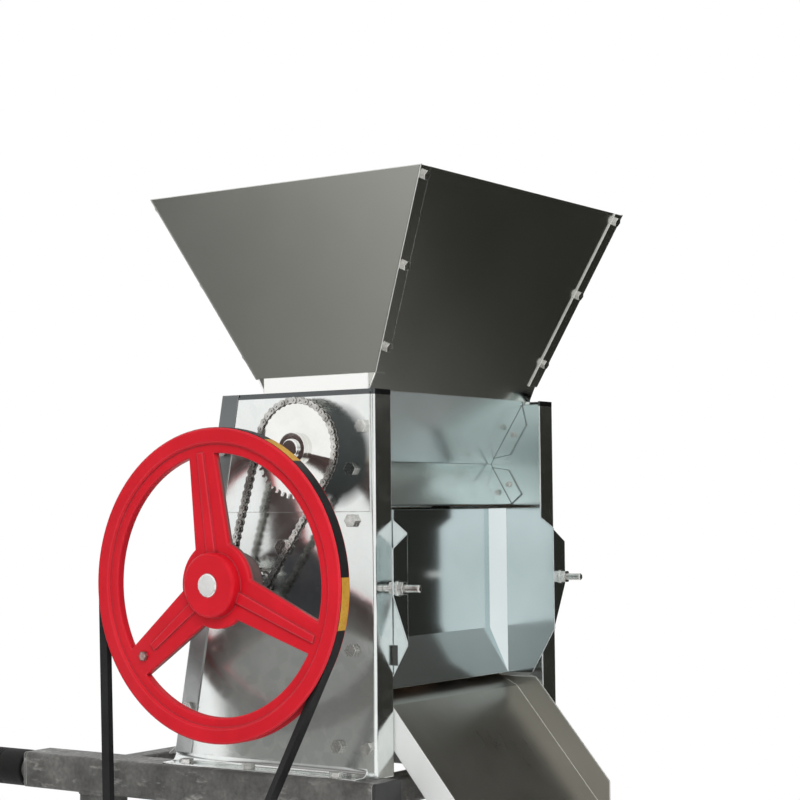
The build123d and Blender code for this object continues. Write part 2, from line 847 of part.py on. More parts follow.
# Brackets from the side plates to the chute walls, and their bolts
bracket_top = drum_z - 156
bracket_low = drum_z - 182
bracket_front = front_y + plate + 1
bracket_rear = front_y + 58
with BuildPart() as chute_brackets:
    for side in (-1, 1):
        with Locations(
            (side * (inner - sheet / 2), (bracket_front + bracket_rear) / 2, (bracket_top + bracket_low) / 2)
        ):
            Box(sheet, bracket_rear - bracket_front, bracket_top - bracket_low)
        with Locations(
            (side * (inner + chute_half) / 2, (bracket_front + rim_y + 24) / 2, bracket_top - sheet / 2)
        ):
            Box(inner - chute_half, rim_y + 24 - bracket_front, sheet)
    with BuildSketch(Plane.YZ):
        with Locations(*bracket_bolts):
            Circle(m8 / 2 + screw_fit)
    extrude(amount=half, both=True, mode=Mode.SUBTRACT)
chute_brackets.part.label = "chute_brackets"
export_step(chute_brackets.part, "parts/chute_brackets.step")

# Slide under the drum that sends the skins out at the back
slide_top = (drum_y - 6, drum_z - drum_radius - 17)
slide_low = (rear_base_y + 12, base_z + 9)
with BuildPart() as skin_slide:
    with BuildSketch(Plane.YZ):
        Polygon(
            slide_top,
            slide_low,
            (slide_low[0], slide_low[1] - bend_shift),
            (slide_top[0], slide_top[1] - bend_shift),
            align=None,
        )
    extrude(amount=inner - clear, both=True)
skin_slide.part.label = "skin_slide"
export_step(skin_slide.part, "parts/skin_slide.step")

# Bolts and nuts of the casing's plates, panels, brackets, rear wall and foot flanges
left_skin = Plane((0, 0, 0), x_dir=(0, -1, 0), z_dir=(-1, 0, 0))
right_skin = Plane.YZ
bolt_sets = []
nut_sets = []
for skin, mirror_y in ((left_skin, -1), (right_skin, 1)):
    over = [(mirror_y * y, z) for y, z in panel_bolts + lap_bolts]
    flush = [(mirror_y * y, z) for y, z in seam_bolts + bracket_bolts]
    bolt_sets.append(hex_bolts(skin.offset(half + sheet), over, m8, sheet + plate + nut_height + 3))
    bolt_sets.append(hex_bolts(skin.offset(half), flush, m8, plate + sheet + nut_height + 3))
    facing_in = Plane((0, 0, 0), x_dir=-skin.x_dir, z_dir=-skin.z_dir)
    plain = [(-mirror_y * y, z) for y, z in panel_bolts + lap_bolts + seam_bolts]
    held = [(-mirror_y * y, z) for y, z in bracket_bolts]
    nut_sets.append(hex_nuts(facing_in.offset(-inner), plain, m8))
    nut_sets.append(hex_nuts(facing_in.offset(-inner + sheet), held, m8))
bolt_sets.append(hex_bolts(Plane.XY.offset(base_z + plate), base_bolts, m8, plate + tube_wall + 6))
with BuildPart() as casing_bolts:
    add(bolt_sets)
casing_bolts.part.label = "casing_bolts"
export_step(casing_bolts.part, "parts/casing_bolts.step")

with BuildPart() as casing_nuts:
    add(nut_sets)
casing_nuts.part.label = "casing_nuts"
export_step(casing_nuts.part, "parts/casing_nuts.step")

# Drum shaft with a blind keyway under the flywheel
key_width = 8.0
key_height = 7.0
key_sink = 4.0
key_length = 34.0
hub_outer_x = belt_x - flywheel_rim_width / 2 - 9
hub_inner_x = hub_outer_x + flywheel_hub_length
key_x = (hub_outer_x + hub_inner_x) / 2
key_z = drum_z + shaft_r - key_sink + key_height / 2
shaft_left = hub_outer_x - 1.5
shaft_right = half + 6
with BuildPart() as drum_shaft:
    with BuildSketch(Plane.YZ.offset(shaft_left)):
        with Locations((drum_y, drum_z)):
            Circle(shaft_r)
    extrude(amount=shaft_right - shaft_left)
    chamfer(drum_shaft.edges().filter_by(GeomType.CIRCLE), 1)
    with Locations((key_x, drum_y, key_z)):
        Box(key_length, key_width, key_height, mode=Mode.SUBTRACT)
drum_shaft.part.label = "drum_shaft"
export_step(drum_shaft.part, "parts/drum_shaft.step")

with BuildPart() as flywheel_key:
    with Locations((key_x, drum_y, key_z)):
        Box(key_length, key_width, key_height)
flywheel_key.part.label = "flywheel_key"
export_step(flywheel_key.part, "parts/flywheel_key.step")

# Drum: a turned core with two end discs, and a sleeve of sheet with raised knobs
sleeve_r = drum_radius - knob_height
core_r = sleeve_r - sleeve_wall
drum_half = drum_length / 2
with BuildPart() as drum_core:
    with BuildSketch(Plane.YZ.offset(-drum_half)):
        with Locations((drum_y, drum_z)):
            Circle(core_r)
            Circle(core_r - drum_shell, mode=Mode.SUBTRACT)
    extrude(amount=drum_length)
    with BuildSketch(Plane.YZ.offset(-drum_half), Plane.YZ.offset(drum_half - drum_disc)):
        with Locations((drum_y, drum_z)):
            Circle(core_r - drum_shell / 2)
    extrude(amount=drum_disc)
    with BuildSketch(Plane.YZ.offset(-drum_half), Plane.YZ.offset(drum_half - 5 * drum_disc)):
        with Locations((drum_y, drum_z)):
            Circle(drum_hub_radius)
    extrude(amount=5 * drum_disc)
    with BuildSketch(Plane.YZ.offset(-drum_half)):
        with Locations((drum_y, drum_z)):
            Circle(shaft_r)
    extrude(amount=drum_length, mode=Mode.SUBTRACT)
drum_core.part.label = "drum_core"
export_step(drum_core.part, "parts/drum_core.step")

knob_centre = drum_radius - knob_radius
knob_spots = []
for column in range(knob_columns):
    x = (column - (knob_columns - 1) / 2) * drum_length / (knob_columns + 0.5)
    for row in range(knob_rows):
        turn = 2 * pi * (row + 0.5 * (column % 2)) / knob_rows
        knob_spots.append((x, drum_y + knob_centre * cos(turn), drum_z + knob_centre * sin(turn)))
with BuildPart() as drum_sleeve:
    with BuildSketch(Plane.YZ.offset(-drum_half)):
        with Locations((drum_y, drum_z)):
            Circle(sleeve_r)
    extrude(amount=drum_length)
    with Locations(*knob_spots):
        Sphere(knob_radius)
    with BuildSketch(Plane.YZ.offset(-drum_half)):
        with Locations((drum_y, drum_z)):
            Circle(core_r)
    extrude(amount=drum_length, mode=Mode.SUBTRACT)
drum_sleeve.part.label = "drum_sleeve"
export_step(drum_sleeve.part, "parts/drum_sleeve.step")

# Drum bearings: housings bolted inside the side plates, rings that turn with the shaft
with BuildPart() as drum_bearing_housings:
    for side in (-1, 1):
        with BuildSketch(Plane.YZ.offset(side * inner)):
            with Locations((drum_y, drum_z)):
                RectangleRounded(bearing_flange, bearing_flange, 12)
            with Locations(*drum_bolts):
                Circle(m10 / 2 + run_fit, mode=Mode.SUBTRACT)
        extrude(amount=-side * bearing_flange_thickness)
        with BuildSketch(Plane.YZ.offset(side * inner)):
            with Locations((drum_y, drum_z)):
                Circle(bearing_boss_radius)
        extrude(amount=-side * bearing_depth)
        with BuildSketch(Plane.YZ.offset(side * inner)):
            with Locations((drum_y, drum_z)):
                Circle(ring_radius)
        extrude(amount=-side * bearing_depth, mode=Mode.SUBTRACT)
drum_bearing_housings.part.label = "drum_bearing_housings"
export_step(drum_bearing_housings.part, "parts/drum_bearing_housings.step")

with BuildPart() as drum_bearing_rings:
    for side in (-1, 1):
        with BuildSketch(Plane.YZ.offset(side * (inner - 1))):
            with Locations((drum_y, drum_z)):
                Circle(ring_radius - run_fit)
                Circle(shaft_r, mode=Mode.SUBTRACT)
        extrude(amount=-side * (bearing_depth - 2))
drum_bearing_rings.part.label = "drum_bearing_rings"
export_step(drum_bearing_rings.part, "parts/drum_bearing_rings.step")

# Feed roller, its shaft, and the housings between the liners and the side plates
feed_left = chain_x - sprocket_thickness / 2 - 11
feed_right = half + 14
with BuildPart() as feed_shaft:
    with BuildSketch(Plane.YZ.offset(feed_left)):
        with Locations((feed_y, feed_z)):
            Circle(feed_r)
    extrude(amount=feed_right - feed_left)
    chamfer(feed_shaft.edges().filter_by(GeomType.CIRCLE), 1)
feed_shaft.part.label = "feed_shaft"
export_step(feed_shaft.part, "parts/feed_shaft.step")

with BuildPart() as feed_roller:
    with BuildSketch(Plane.YZ):
        with Locations((feed_y, feed_z)):
            Circle(roller_r - feed_rib_height / 2)
            with PolarLocations(roller_r - feed_rib_height / 2, feed_ribs):
                Rectangle(feed_rib_height, 3)
            Circle(feed_r, mode=Mode.SUBTRACT)
    extrude(amount=throat_half - sheet - 4, both=True)
feed_roller.part.label = "feed_roller"
export_step(feed_roller.part, "parts/feed_roller.step")

with BuildPart() as feed_bearings:
    for side in (-1, 1):
        with BuildSketch(Plane.YZ.offset(side * inner)):
            with Locations((feed_y, feed_z)):
                RectangleRounded(feed_housing, feed_housing, 6)
                Circle(feed_r + run_fit, mode=Mode.SUBTRACT)
            with Locations(*feed_bolts):
                Circle(m6 / 2 + run_fit, mode=Mode.SUBTRACT)
        extrude(amount=-side * (inner - liner_outer))
feed_bearings.part.label = "feed_bearings"
export_step(feed_bearings.part, "parts/feed_bearings.step")

# Bolts of the four bearing housings, screwed in from outside the plates
bearing_bolt_sets = []
for skin, mirror_y in ((left_skin, -1), (right_skin, 1)):
    drum_spots = [(mirror_y * y, z) for y, z in drum_bolts]
    feed_spots = [(mirror_y * y, z) for y, z in feed_bolts]
    drum_bolt_length = plate + bearing_flange_thickness
    feed_bolt_length = sheet + plate + 14
    bearing_bolt_sets.append(hex_bolts(skin.offset(half), drum_spots, m10, drum_bolt_length))
    bearing_bolt_sets.append(hex_bolts(skin.offset(half + sheet), feed_spots, m6, feed_bolt_length))
with BuildPart() as bearing_bolts:
    add(bearing_bolt_sets)
bearing_bolts.part.label = "bearing_bolts"
export_step(bearing_bolts.part, "parts/bearing_bolts.step")

with BuildPart() as feed_collar:
    with BuildSketch(Plane.YZ.offset(half + sheet + 1)):
        with Locations((feed_y, feed_z)):
            Circle(feed_r + 7)
            Circle(feed_r, mode=Mode.SUBTRACT)
    extrude(amount=10)
feed_collar.part.label = "feed_collar"
export_step(feed_collar.part, "parts/feed_collar.step")


def sprocket(centre, teeth, pitch_r, bore_r, hub_r, hub_out, spread):
    """Toothed disc with a hub towards the casing and, where hub_out is set, one outward."""
    tip_r = pitch_r + 0.29 * chain_pitch
    face = sprocket_thickness / 2
    hub_in = chain_offset - face - sheet - 3
    with BuildPart() as wheel:
        with BuildSketch(Plane.YZ.offset(chain_x - face)):
            with Locations(centre):
                Circle(tip_r)
                with PolarLocations(pitch_r, teeth, start_angle=degrees(chain_angle)):
                    Circle(roller_radius + side_fit, mode=Mode.SUBTRACT)
                    Polygon(
                        (0, -roller_radius - side_fit),
                        (0, roller_radius + side_fit),
                        (0.4 * chain_pitch, spread * roller_radius),
                        (0.4 * chain_pitch, -spread * roller_radius),
                        align=None,
                        mode=Mode.SUBTRACT,
                    )
        extrude(amount=sprocket_thickness)
        with BuildSketch(Plane.YZ.offset(chain_x - face - hub_out)):
            with Locations(centre):
                Circle(hub_r)
        extrude(amount=hub_out + sprocket_thickness + hub_in)
        with BuildSketch(Plane.YZ.offset(chain_x - face - hub_out)):
            with Locations(centre):
                Circle(bore_r)
        extrude(amount=hub_out + sprocket_thickness + hub_in, mode=Mode.SUBTRACT)
    return wheel.part


small_sprocket = sprocket((drum_y, drum_z), small_teeth, small_pitch_r, shaft_r, shaft_r + 4, 0.0, 1.9)
small_sprocket.label = "small_sprocket"
export_step(small_sprocket, "parts/small_sprocket.step")

large_sprocket = sprocket((feed_y, feed_z), large_teeth, large_pitch_r, feed_r, feed_r + 7, 7.0, 1.35)
large_sprocket.label = "large_sprocket"
export_step(large_sprocket, "parts/large_sprocket.step")

# Roller chain: one outer and one inner link, repeated round the path
inner_plate_x = sprocket_thickness / 2 + 0.4
outer_plate_x = inner_plate_x + link_plate + 0.2
pin_end = outer_plate_x + link_plate + 1.0
pin_spots = [(0, 0), (chain_pitch, 0)]
with BuildPart() as outer_link:
    for side in (-1, 1):
        with BuildSketch(Plane.YZ.offset(side * outer_plate_x)):
            with Locations(*pin_spots):
                Circle(link_height / 2)
            with Locations((chain_pitch / 2, 0)):
                Rectangle(chain_pitch, link_waist)
        extrude(amount=side * link_plate)
    with BuildSketch(Plane.YZ):
        with Locations(*pin_spots):
            Circle(pin_radius)
    extrude(amount=pin_end, both=True)

with BuildPart() as inner_link:
    for side in (-1, 1):
        with BuildSketch(Plane.YZ.offset(side * inner_plate_x)):
            with Locations(*pin_spots):
                Circle(link_height / 2)
            with Locations((chain_pitch / 2, 0)):
                Rectangle(chain_pitch, link_waist)
        extrude(amount=side * link_plate)
    with BuildSketch(Plane.YZ):
        with Locations(*pin_spots):
            Circle(roller_radius)
    extrude(amount=inner_plate_x, both=True)
    with BuildSketch(Plane.YZ):
        with Locations(*pin_spots):
            Circle(pin_radius + clear)
    extrude(amount=outer_plate_x, both=True, mode=Mode.SUBTRACT)

# Pin places along the path, in a frame whose first axis runs from the drum to the feed shaft
pins = []
for seat in range(small_seats):
    turn = 3 * pi / 2 - seat * small_step
    pins.append((small_pitch_r * cos(turn), small_pitch_r * sin(turn)))
run_start = pins[-1]
run_end = (chain_centres + large_pitch_r * cos(last_seat), large_pitch_r * sin(last_seat))
for link in range(1, run_links):
    share = link / run_links
    pins.append(tuple(a + (b - a) * share for a, b in zip(run_start, run_end)))
for seat in range(large_seats):
    turn = last_seat - seat * large_step
    pins.append((chain_centres + large_pitch_r * cos(turn), large_pitch_r * sin(turn)))
for link in range(1, run_links):
    back_u, back_v = pins[small_seats + run_links - 1 - link]
    pins.append((back_u, -back_v))
path = [
    (
        drum_y + u * cos(chain_angle) - v * sin(chain_angle),
        drum_z + u * sin(chain_angle) + v * cos(chain_angle),
    )
    for u, v in pins
]
chain_parts = []
for number, (y, z) in enumerate(path):
    next_y, next_z = path[(number + 1) % len(path)]
    turn = degrees(atan2(next_z - z, next_y - y))
    link = outer_link.part if number % 2 else inner_link.part
    chain_parts.append(link.moved(Location((chain_x, y, z), (turn, 0, 0))))
with BuildPart() as roller_chain:
    add(chain_parts)
roller_chain.part.label = "roller_chain"
export_step(roller_chain.part, "parts/roller_chain.step")

# Belt drive geometry: pitch circles of both pulleys and the two straight runs
flywheel_r = flywheel_diameter / 2
flywheel_pitch_r = flywheel_r + belt_proud - belt_above_pitch
motor_pitch_r = flywheel_pitch_r / drive_ratio
motor_pulley_r = motor_pitch_r + belt_above_pitch - belt_proud
belt_spread = hypot(motor_y - drum_y, motor_z - drum_z)
belt_line = atan2(motor_z - drum_z, motor_y - drum_y)
belt_half_wrap = acos((flywheel_pitch_r - motor_pitch_r) / belt_spread)
belt_run = sqrt(belt_spread**2 - (flywheel_pitch_r - motor_pitch_r) ** 2)
flank = tan(radians(belt_flank))


def groove(outer_r):
    """Half section of a V groove in a pulley, as (radius, x) points a clearance wider than the belt."""
    top_half = belt_top_width / 2 - belt_proud * flank + side_fit / cos(radians(belt_flank))
    depth = belt_height - belt_proud + 1.5
    return [
        (outer_r - depth, -top_half + depth * flank),
        (outer_r - depth, top_half - depth * flank),
        (outer_r + 1, top_half + flank),
        (outer_r + 1, -top_half - flank),
    ]


def section_plane(centre_y, centre_z, angle):
    """Plane through a pulley's axis at an angle, with the radius first and X second."""
    return Plane(
        origin=(belt_x, centre_y, centre_z),
        x_dir=(0, cos(angle), sin(angle)),
        z_dir=(0, sin(angle), -cos(angle)),
    )


# Flywheel: grooved rim with a thinner lip inside it, hub and three ridged spokes
lip_r = flywheel_r - flywheel_rim_depth
opening_r = lip_r - flywheel_lip_depth
rim_face_x = belt_x - flywheel_rim_width / 2
spoke_face_x = rim_face_x + spoke_recess
spoke_angles = [90 - flywheel_turn + 120 * k for k in range(3)]
wheel_axis = Axis((belt_x, drum_y, drum_z), (1, 0, 0))
rim_half_width = flywheel_rim_width / 2
crank_angle = radians(spoke_angles[0] - 120)
crank_spot = (drum_y + crank_radius * cos(crank_angle), drum_z + crank_radius * sin(crank_angle))
with BuildPart() as flywheel:
    with BuildSketch(Plane.YZ.offset(spoke_face_x)) as web:
        with Locations((drum_y, drum_z)):
            Circle(lip_r + 4)
            Circle(opening_r, mode=Mode.SUBTRACT)
            Circle(flywheel_hub_radius)
        for angle in spoke_angles:
            with Locations(Location((drum_y, drum_z), angle)):
                Polygon(
                    (flywheel_hub_radius - 14, -spoke_hub_width / 2),
                    (opening_r + 3, -spoke_rim_width / 2),
                    (opening_r + 3, spoke_rim_width / 2),
                    (flywheel_hub_radius - 14, spoke_hub_width / 2),
                    align=None,
                )
        corners = web.vertices().filter_by(
            lambda v: flywheel_hub_radius - 2 < hypot(v.Y - drum_y, v.Z - drum_z) < opening_r + 1
        )
        fillet(corners, 12)
    extrude(amount=spoke_thickness)
    fillet(flywheel.edges().filter_by(lambda e: e.length > 20).group_by(Axis.X)[0], 1.5)
    for angle, ridge_end in zip(spoke_angles, (opening_r + 2, opening_r + 2, crank_radius - 16)):
        with BuildSketch(Plane.YZ.offset(spoke_face_x - spoke_ridge)):
            with Locations(Location((drum_y, drum_z), angle)):
                Polygon(
                    (flywheel_boss_radius - 4, -6),
                    (ridge_end, -4),
                    (ridge_end, 4),
                    (flywheel_boss_radius - 4, 6),
                    align=None,
                )
        extrude(amount=spoke_ridge + spoke_thickness / 2)
    with BuildSketch(section_plane(drum_y, drum_z, pi / 2)):
        with BuildLine():
            Polyline(
                (lip_r, -rim_half_width + 2),
                (lip_r + 2, -rim_half_width),
                (flywheel_r - 1.5, -rim_half_width),
                (flywheel_r, -rim_half_width + 1.5),
                (flywheel_r, rim_half_width - 1.5),
                (flywheel_r - 1.5, rim_half_width),
                (lip_r + 2, rim_half_width),
                (lip_r, rim_half_width - 2),
                close=True,
            )
        make_face()
        Polygon(*groove(flywheel_r), align=None, mode=Mode.SUBTRACT)
    revolve(axis=wheel_axis)
    with BuildSketch(Plane.YZ.offset(hub_outer_x)):
        with Locations((drum_y, drum_z)):
            Circle(flywheel_boss_radius)
    extrude(amount=flywheel_hub_length)
    fillet(flywheel.edges().filter_by(GeomType.CIRCLE).group_by(Axis.X)[0], 4)
    with BuildSketch(Plane.YZ.offset(hub_outer_x)):
        with Locations((drum_y, drum_z)):
            Circle(shaft_r)
    extrude(amount=flywheel_hub_length, mode=Mode.SUBTRACT)
    with Locations((key_x, drum_y, key_z)):
        Box(key_length, key_width, key_height, mode=Mode.SUBTRACT)
    with BuildSketch(Plane.YZ.offset(belt_x)):
        with Locations(crank_spot):
            Circle(m6 / 2 + run_fit)
    extrude(amount=flywheel_rim_width, both=True, mode=Mode.SUBTRACT)
flywheel.part.label = "flywheel"
export_step(flywheel.part, "parts/flywheel.step")

# Bolt in the lower rear spoke, where a hand crank is fitted
crank_seat = spoke_face_x
crank_grip = spoke_thickness
with BuildPart() as crank_bolt:
    with BuildSketch(Plane.YZ.offset(crank_seat)):
        with Locations(crank_spot):
            RegularPolygon(m6 * hex_share, 6)
    extrude(amount=-m6 * head_share)
    with BuildSketch(Plane.YZ.offset(crank_seat)):
        with Locations(crank_spot):
            Circle(m6 / 2)
    extrude(amount=crank_grip + 14)
    with BuildSketch(Plane.YZ.offset(crank_seat + crank_grip)):
        with Locations(crank_spot):
            RegularPolygon(m6 * hex_share, 6)
    extrude(amount=m6 * nut_share)
crank_bolt.part.label = "crank_bolt"
export_step(crank_bolt.part, "parts/crank_bolt.step")

# Drive belt: an arc on each pulley and two straight runs between them
upper_tangent = belt_line + belt_half_wrap
lower_tangent = belt_line - belt_half_wrap


def belt_section(pitch_r):
    """Cross section of the belt on a pulley, as (radius, x) points."""
    top = pitch_r + belt_above_pitch
    low = top - belt_height
    low_half = belt_top_width / 2 - belt_height * flank
    return [(low, -low_half), (low, low_half), (top, belt_top_width / 2), (top, -belt_top_width / 2)]


with BuildPart() as drive_belt:
    with BuildSketch(section_plane(drum_y, drum_z, upper_tangent)):
        Polygon(*belt_section(flywheel_pitch_r), align=None)
    revolve(axis=wheel_axis, revolution_arc=360 - 2 * degrees(belt_half_wrap))
    with BuildSketch(section_plane(motor_y, motor_z, lower_tangent)):
        Polygon(*belt_section(motor_pitch_r), align=None)
    revolve(
        axis=Axis((belt_x, motor_y, motor_z), (1, 0, 0)), revolution_arc=2 * degrees(belt_half_wrap)
    )
    with BuildSketch(section_plane(drum_y, drum_z, upper_tangent)):
        Polygon(*belt_section(flywheel_pitch_r), align=None)
    extrude(amount=belt_run)
    with BuildSketch(section_plane(drum_y, drum_z, lower_tangent)):
        Polygon(*belt_section(flywheel_pitch_r), align=None)
    extrude(amount=-belt_run)
drive_belt.part.label = "drive_belt"
export_step(drive_belt.part, "parts/drive_belt.step")

# Motor pulley on the motor shaft
motor_shaft_r = motor_shaft_diameter / 2
pulley_width = 20.0
shield_depth = 25.0
motor_front_x = belt_x + 44
with BuildPart() as motor_pulley:
    with BuildSketch(section_plane(motor_y, motor_z, pi / 2)):
        with BuildLine():
            Polyline(
                (motor_shaft_r, -pulley_width / 2),
                (motor_pulley_r - 1, -pulley_width / 2),
                (motor_pulley_r, -pulley_width / 2 + 1),
                (motor_pulley_r, pulley_width / 2 - 1),
                (motor_pulley_r - 1, pulley_width / 2),
                (motor_shaft_r + 10, pulley_width / 2),
                (motor_shaft_r + 10, pulley_width / 2 + 12),
                (motor_shaft_r, pulley_width / 2 + 12),
                close=True,
            )
        make_face()
        Polygon(*groove(motor_pulley_r), align=None, mode=Mode.SUBTRACT)
    revolve(axis=Axis((belt_x, motor_y, motor_z), (1, 0, 0)))
motor_pulley.part.label = "motor_pulley"
export_step(motor_pulley.part, "parts/motor_pulley.step")

# Motor: finned barrel on two feet, stator, rotor, end shields, fan and fan cover
barrel_x = motor_front_x + shield_depth
barrel_end = barrel_x + motor_barrel_length
barrel_mid = (barrel_x + barrel_end) / 2
bore_r = motor_barrel_radius - motor_barrel_wall
shield_r = motor_barrel_radius + 4
foot_pad = 12.0
foot_pad_width = 26.0
foot_pad_length = motor_bolt_along + 34
box_pad = motor_barrel_radius + motor_fin + 4
motor_foot_spots = [
    (barrel_mid + a * motor_bolt_along / 2, motor_y + b * motor_bolt_across / 2)
    for a in (-1, 1)
    for b in (-1, 1)
]
shield_spots = [
    (motor_y + (bore_r + 3.5) * cos(radians(a)), motor_z + (bore_r + 3.5) * sin(radians(a)))
    for a in (45, 135, 225, 315)
]
tie_r = 2.5
with BuildPart() as motor_barrel:
    with BuildSketch(Plane.YZ.offset(barrel_x)):
        with Locations((motor_y, motor_z)):
            Circle(motor_barrel_radius)
    extrude(amount=motor_barrel_length)
    with BuildSketch(Plane.YZ.offset(barrel_x + 6)):
        with Locations((motor_y, motor_z)):
            with PolarLocations(motor_barrel_radius + motor_fin / 2 - 1, motor_fins):
                Rectangle(motor_fin + 2, 3)
    extrude(amount=motor_barrel_length - 12)
    for side in (-1, 1):
        pad_y = motor_y + side * motor_bolt_across / 2
        with Locations((barrel_mid, pad_y, shelf_z + foot_pad / 2)):
            Box(foot_pad_length, foot_pad_width, foot_pad)
        web_z = motor_z - 24
        with Locations((barrel_mid, motor_y + side * 46, (shelf_z + web_z) / 2)):
            Box(foot_pad_length, 10, web_z - shelf_z)
    with Locations((barrel_mid, motor_y, motor_z + box_pad / 2)):
        Box(90, 78, box_pad)
    with BuildSketch(Plane.YZ.offset(barrel_x)):
        with Locations((motor_y, motor_z)):
            Circle(bore_r)
    extrude(amount=motor_barrel_length, mode=Mode.SUBTRACT)
    with BuildSketch(Plane.YZ.offset(barrel_x)):
        with Locations(*shield_spots):
            Circle(tie_r + run_fit)
    extrude(amount=motor_barrel_length, mode=Mode.SUBTRACT)
    with BuildSketch(Plane.XY.offset(shelf_z)):
        with Locations(*motor_foot_spots):
            Circle(m8 / 2 + screw_fit)
    extrude(amount=foot_pad, mode=Mode.SUBTRACT)
motor_barrel.part.label = "motor_barrel"
export_step(motor_barrel.part, "parts/motor_barrel.step")

stator_length = 0.7 * motor_barrel_length
rotor_r = 0.62 * bore_r
with BuildPart() as motor_stator:
    with BuildSketch(Plane.YZ.offset(barrel_mid - stator_length / 2)):
        with Locations((motor_y, motor_z)):
            Circle(bore_r)
            Circle(rotor_r + 1.5, mode=Mode.SUBTRACT)
    extrude(amount=stator_length)
motor_stator.part.label = "motor_stator"
export_step(motor_stator.part, "parts/motor_stator.step")

rear_shield_depth = 20.0
fan_x = barrel_end + rear_shield_depth + 5
fan_depth = 18.0
fan_r = motor_barrel_radius - 12
rotor_shaft_x = belt_x - pulley_width / 2 - 3
with BuildPart() as motor_rotor:
    with BuildSketch(Plane.YZ.offset(rotor_shaft_x)):
        with Locations((motor_y, motor_z)):
            Circle(motor_shaft_r)
    extrude(amount=fan_x + fan_depth + 2 - rotor_shaft_x)
    chamfer(motor_rotor.edges().filter_by(GeomType.CIRCLE), 0.8)
    with BuildSketch(Plane.YZ.offset(barrel_mid - stator_length / 2)):
        with Locations((motor_y, motor_z)):
            Circle(rotor_r)
    extrude(amount=stator_length)
motor_rotor.part.label = "motor_rotor"
export_step(motor_rotor.part, "parts/motor_rotor.step")


def end_shield(face_x, depth, way):
    """End shield with a raised boss round the shaft; way points from the barrel outward."""
    with BuildPart() as shield:
        with BuildSketch(Plane.YZ.offset(face_x)):
            with Locations((motor_y, motor_z)):
                Circle(shield_r)
        extrude(amount=way * depth * 0.6)
        with BuildSketch(Plane.YZ.offset(face_x)):
            with Locations((motor_y, motor_z)):
                Circle(motor_shaft_r + 16)
        extrude(amount=way * depth)
        with BuildSketch(Plane.YZ.offset(face_x)):
            with Locations((motor_y, motor_z)):
                Circle(motor_shaft_r + run_fit)
            with Locations(*shield_spots):
                Circle(tie_r + run_fit)
        extrude(amount=way * depth, mode=Mode.SUBTRACT)
    return shield.part


motor_front_shield = end_shield(barrel_x, shield_depth, -1)
motor_front_shield.label = "motor_front_shield"
export_step(motor_front_shield, "parts/motor_front_shield.step")

motor_rear_shield = end_shield(barrel_end, rear_shield_depth, 1)
motor_rear_shield.label = "motor_rear_shield"
export_step(motor_rear_shield, "parts/motor_rear_shield.step")

# Tie screws through both shields
front_tie_x = barrel_x - 0.6 * shield_depth
rear_tie_x = barrel_end + 0.6 * rear_shield_depth
with BuildPart() as motor_tie_screws:
    with BuildSketch(Plane.YZ.offset(front_tie_x - 4)):
        with Locations(*shield_spots):
            RegularPolygon(1.8 * tie_r, 6)
    extrude(amount=4)
    with BuildSketch(Plane.YZ.offset(front_tie_x)):
        with Locations(*shield_spots):
            Circle(tie_r)
    extrude(amount=rear_tie_x - front_tie_x)
motor_tie_screws.part.label = "motor_tie_screws"
export_step(motor_tie_screws.part, "parts/motor_tie_screws.step")

with BuildPart() as motor_fan:
    with BuildSketch(Plane.YZ.offset(fan_x)):
        with Locations((motor_y, motor_z)):
            Circle(motor_shaft_r + 9)
            with PolarLocations((motor_shaft_r + 7 + fan_r) / 2, 7):
                Rectangle(fan_r - motor_shaft_r - 7, 3)
            Circle(motor_shaft_r, mode=Mode.SUBTRACT)
    extrude(amount=fan_depth)
motor_fan.part.label = "motor_fan"
export_step(motor_fan.part, "parts/motor_fan.step")

cover_x = barrel_end + 2
cover_end = fan_x + fan_depth + 12
with BuildPart() as motor_fan_cover:
    with BuildSketch(Plane.YZ.offset(cover_x)):
        with Locations((motor_y, motor_z)):
            Circle(shield_r + clear + sheet)
            Circle(shield_r + clear, mode=Mode.SUBTRACT)
    extrude(amount=cover_end - cover_x)
    with BuildSketch(Plane.YZ.offset(cover_end - sheet)):
        with Locations((motor_y, motor_z)):
            Circle(shield_r + clear + sheet / 2)
            for ring_r, holes in ((16, 8), (30, 14), (44, 20)):
                with PolarLocations(ring_r, holes):
                    Circle(4, mode=Mode.SUBTRACT)
    extrude(amount=sheet)
motor_fan_cover.part.label = "motor_fan_cover"
export_step(motor_fan_cover.part, "parts/motor_fan_cover.step")

# Terminal box on the barrel's pad, with a cable gland at its rear
box_z = motor_z + box_pad
box_height = 38.0
with BuildPart() as terminal_box:
    with Locations((barrel_mid, motor_y, box_z + box_height / 2)):
        Box(86, 74, box_height)
    fillet(terminal_box.edges().filter_by(Axis.Z), 6)
    fillet(terminal_box.faces().sort_by(Axis.Z)[-1].edges(), 2)
terminal_box.part.label = "terminal_box"
export_step(terminal_box.part, "parts/terminal_box.step")

gland_y = motor_y + 37
with BuildPart() as cable_gland:
    with BuildSketch(Plane.XZ.offset(-gland_y)):
        with Locations((barrel_mid, box_z + box_height / 2 - 2)):
            RegularPolygon(13, 6)
    extrude(amount=-6)
    with BuildSketch(Plane.XZ.offset(-gland_y - 6)):
        with Locations((barrel_mid, box_z + box_height / 2 - 2)):
            Circle(9.5)
    extrude(amount=-12)
    fillet(cable_gland.edges().filter_by(GeomType.CIRCLE).group_by(Axis.Y)[-1], 3)
    with BuildSketch(Plane.XZ.offset(-gland_y)):
        with Locations((barrel_mid, box_z + box_height / 2 - 2)):
            Circle(4.5)
    extrude(amount=-18, mode=Mode.SUBTRACT)
cable_gland.part.label = "cable_gland"
export_step(cable_gland.part, "parts/cable_gland.step")

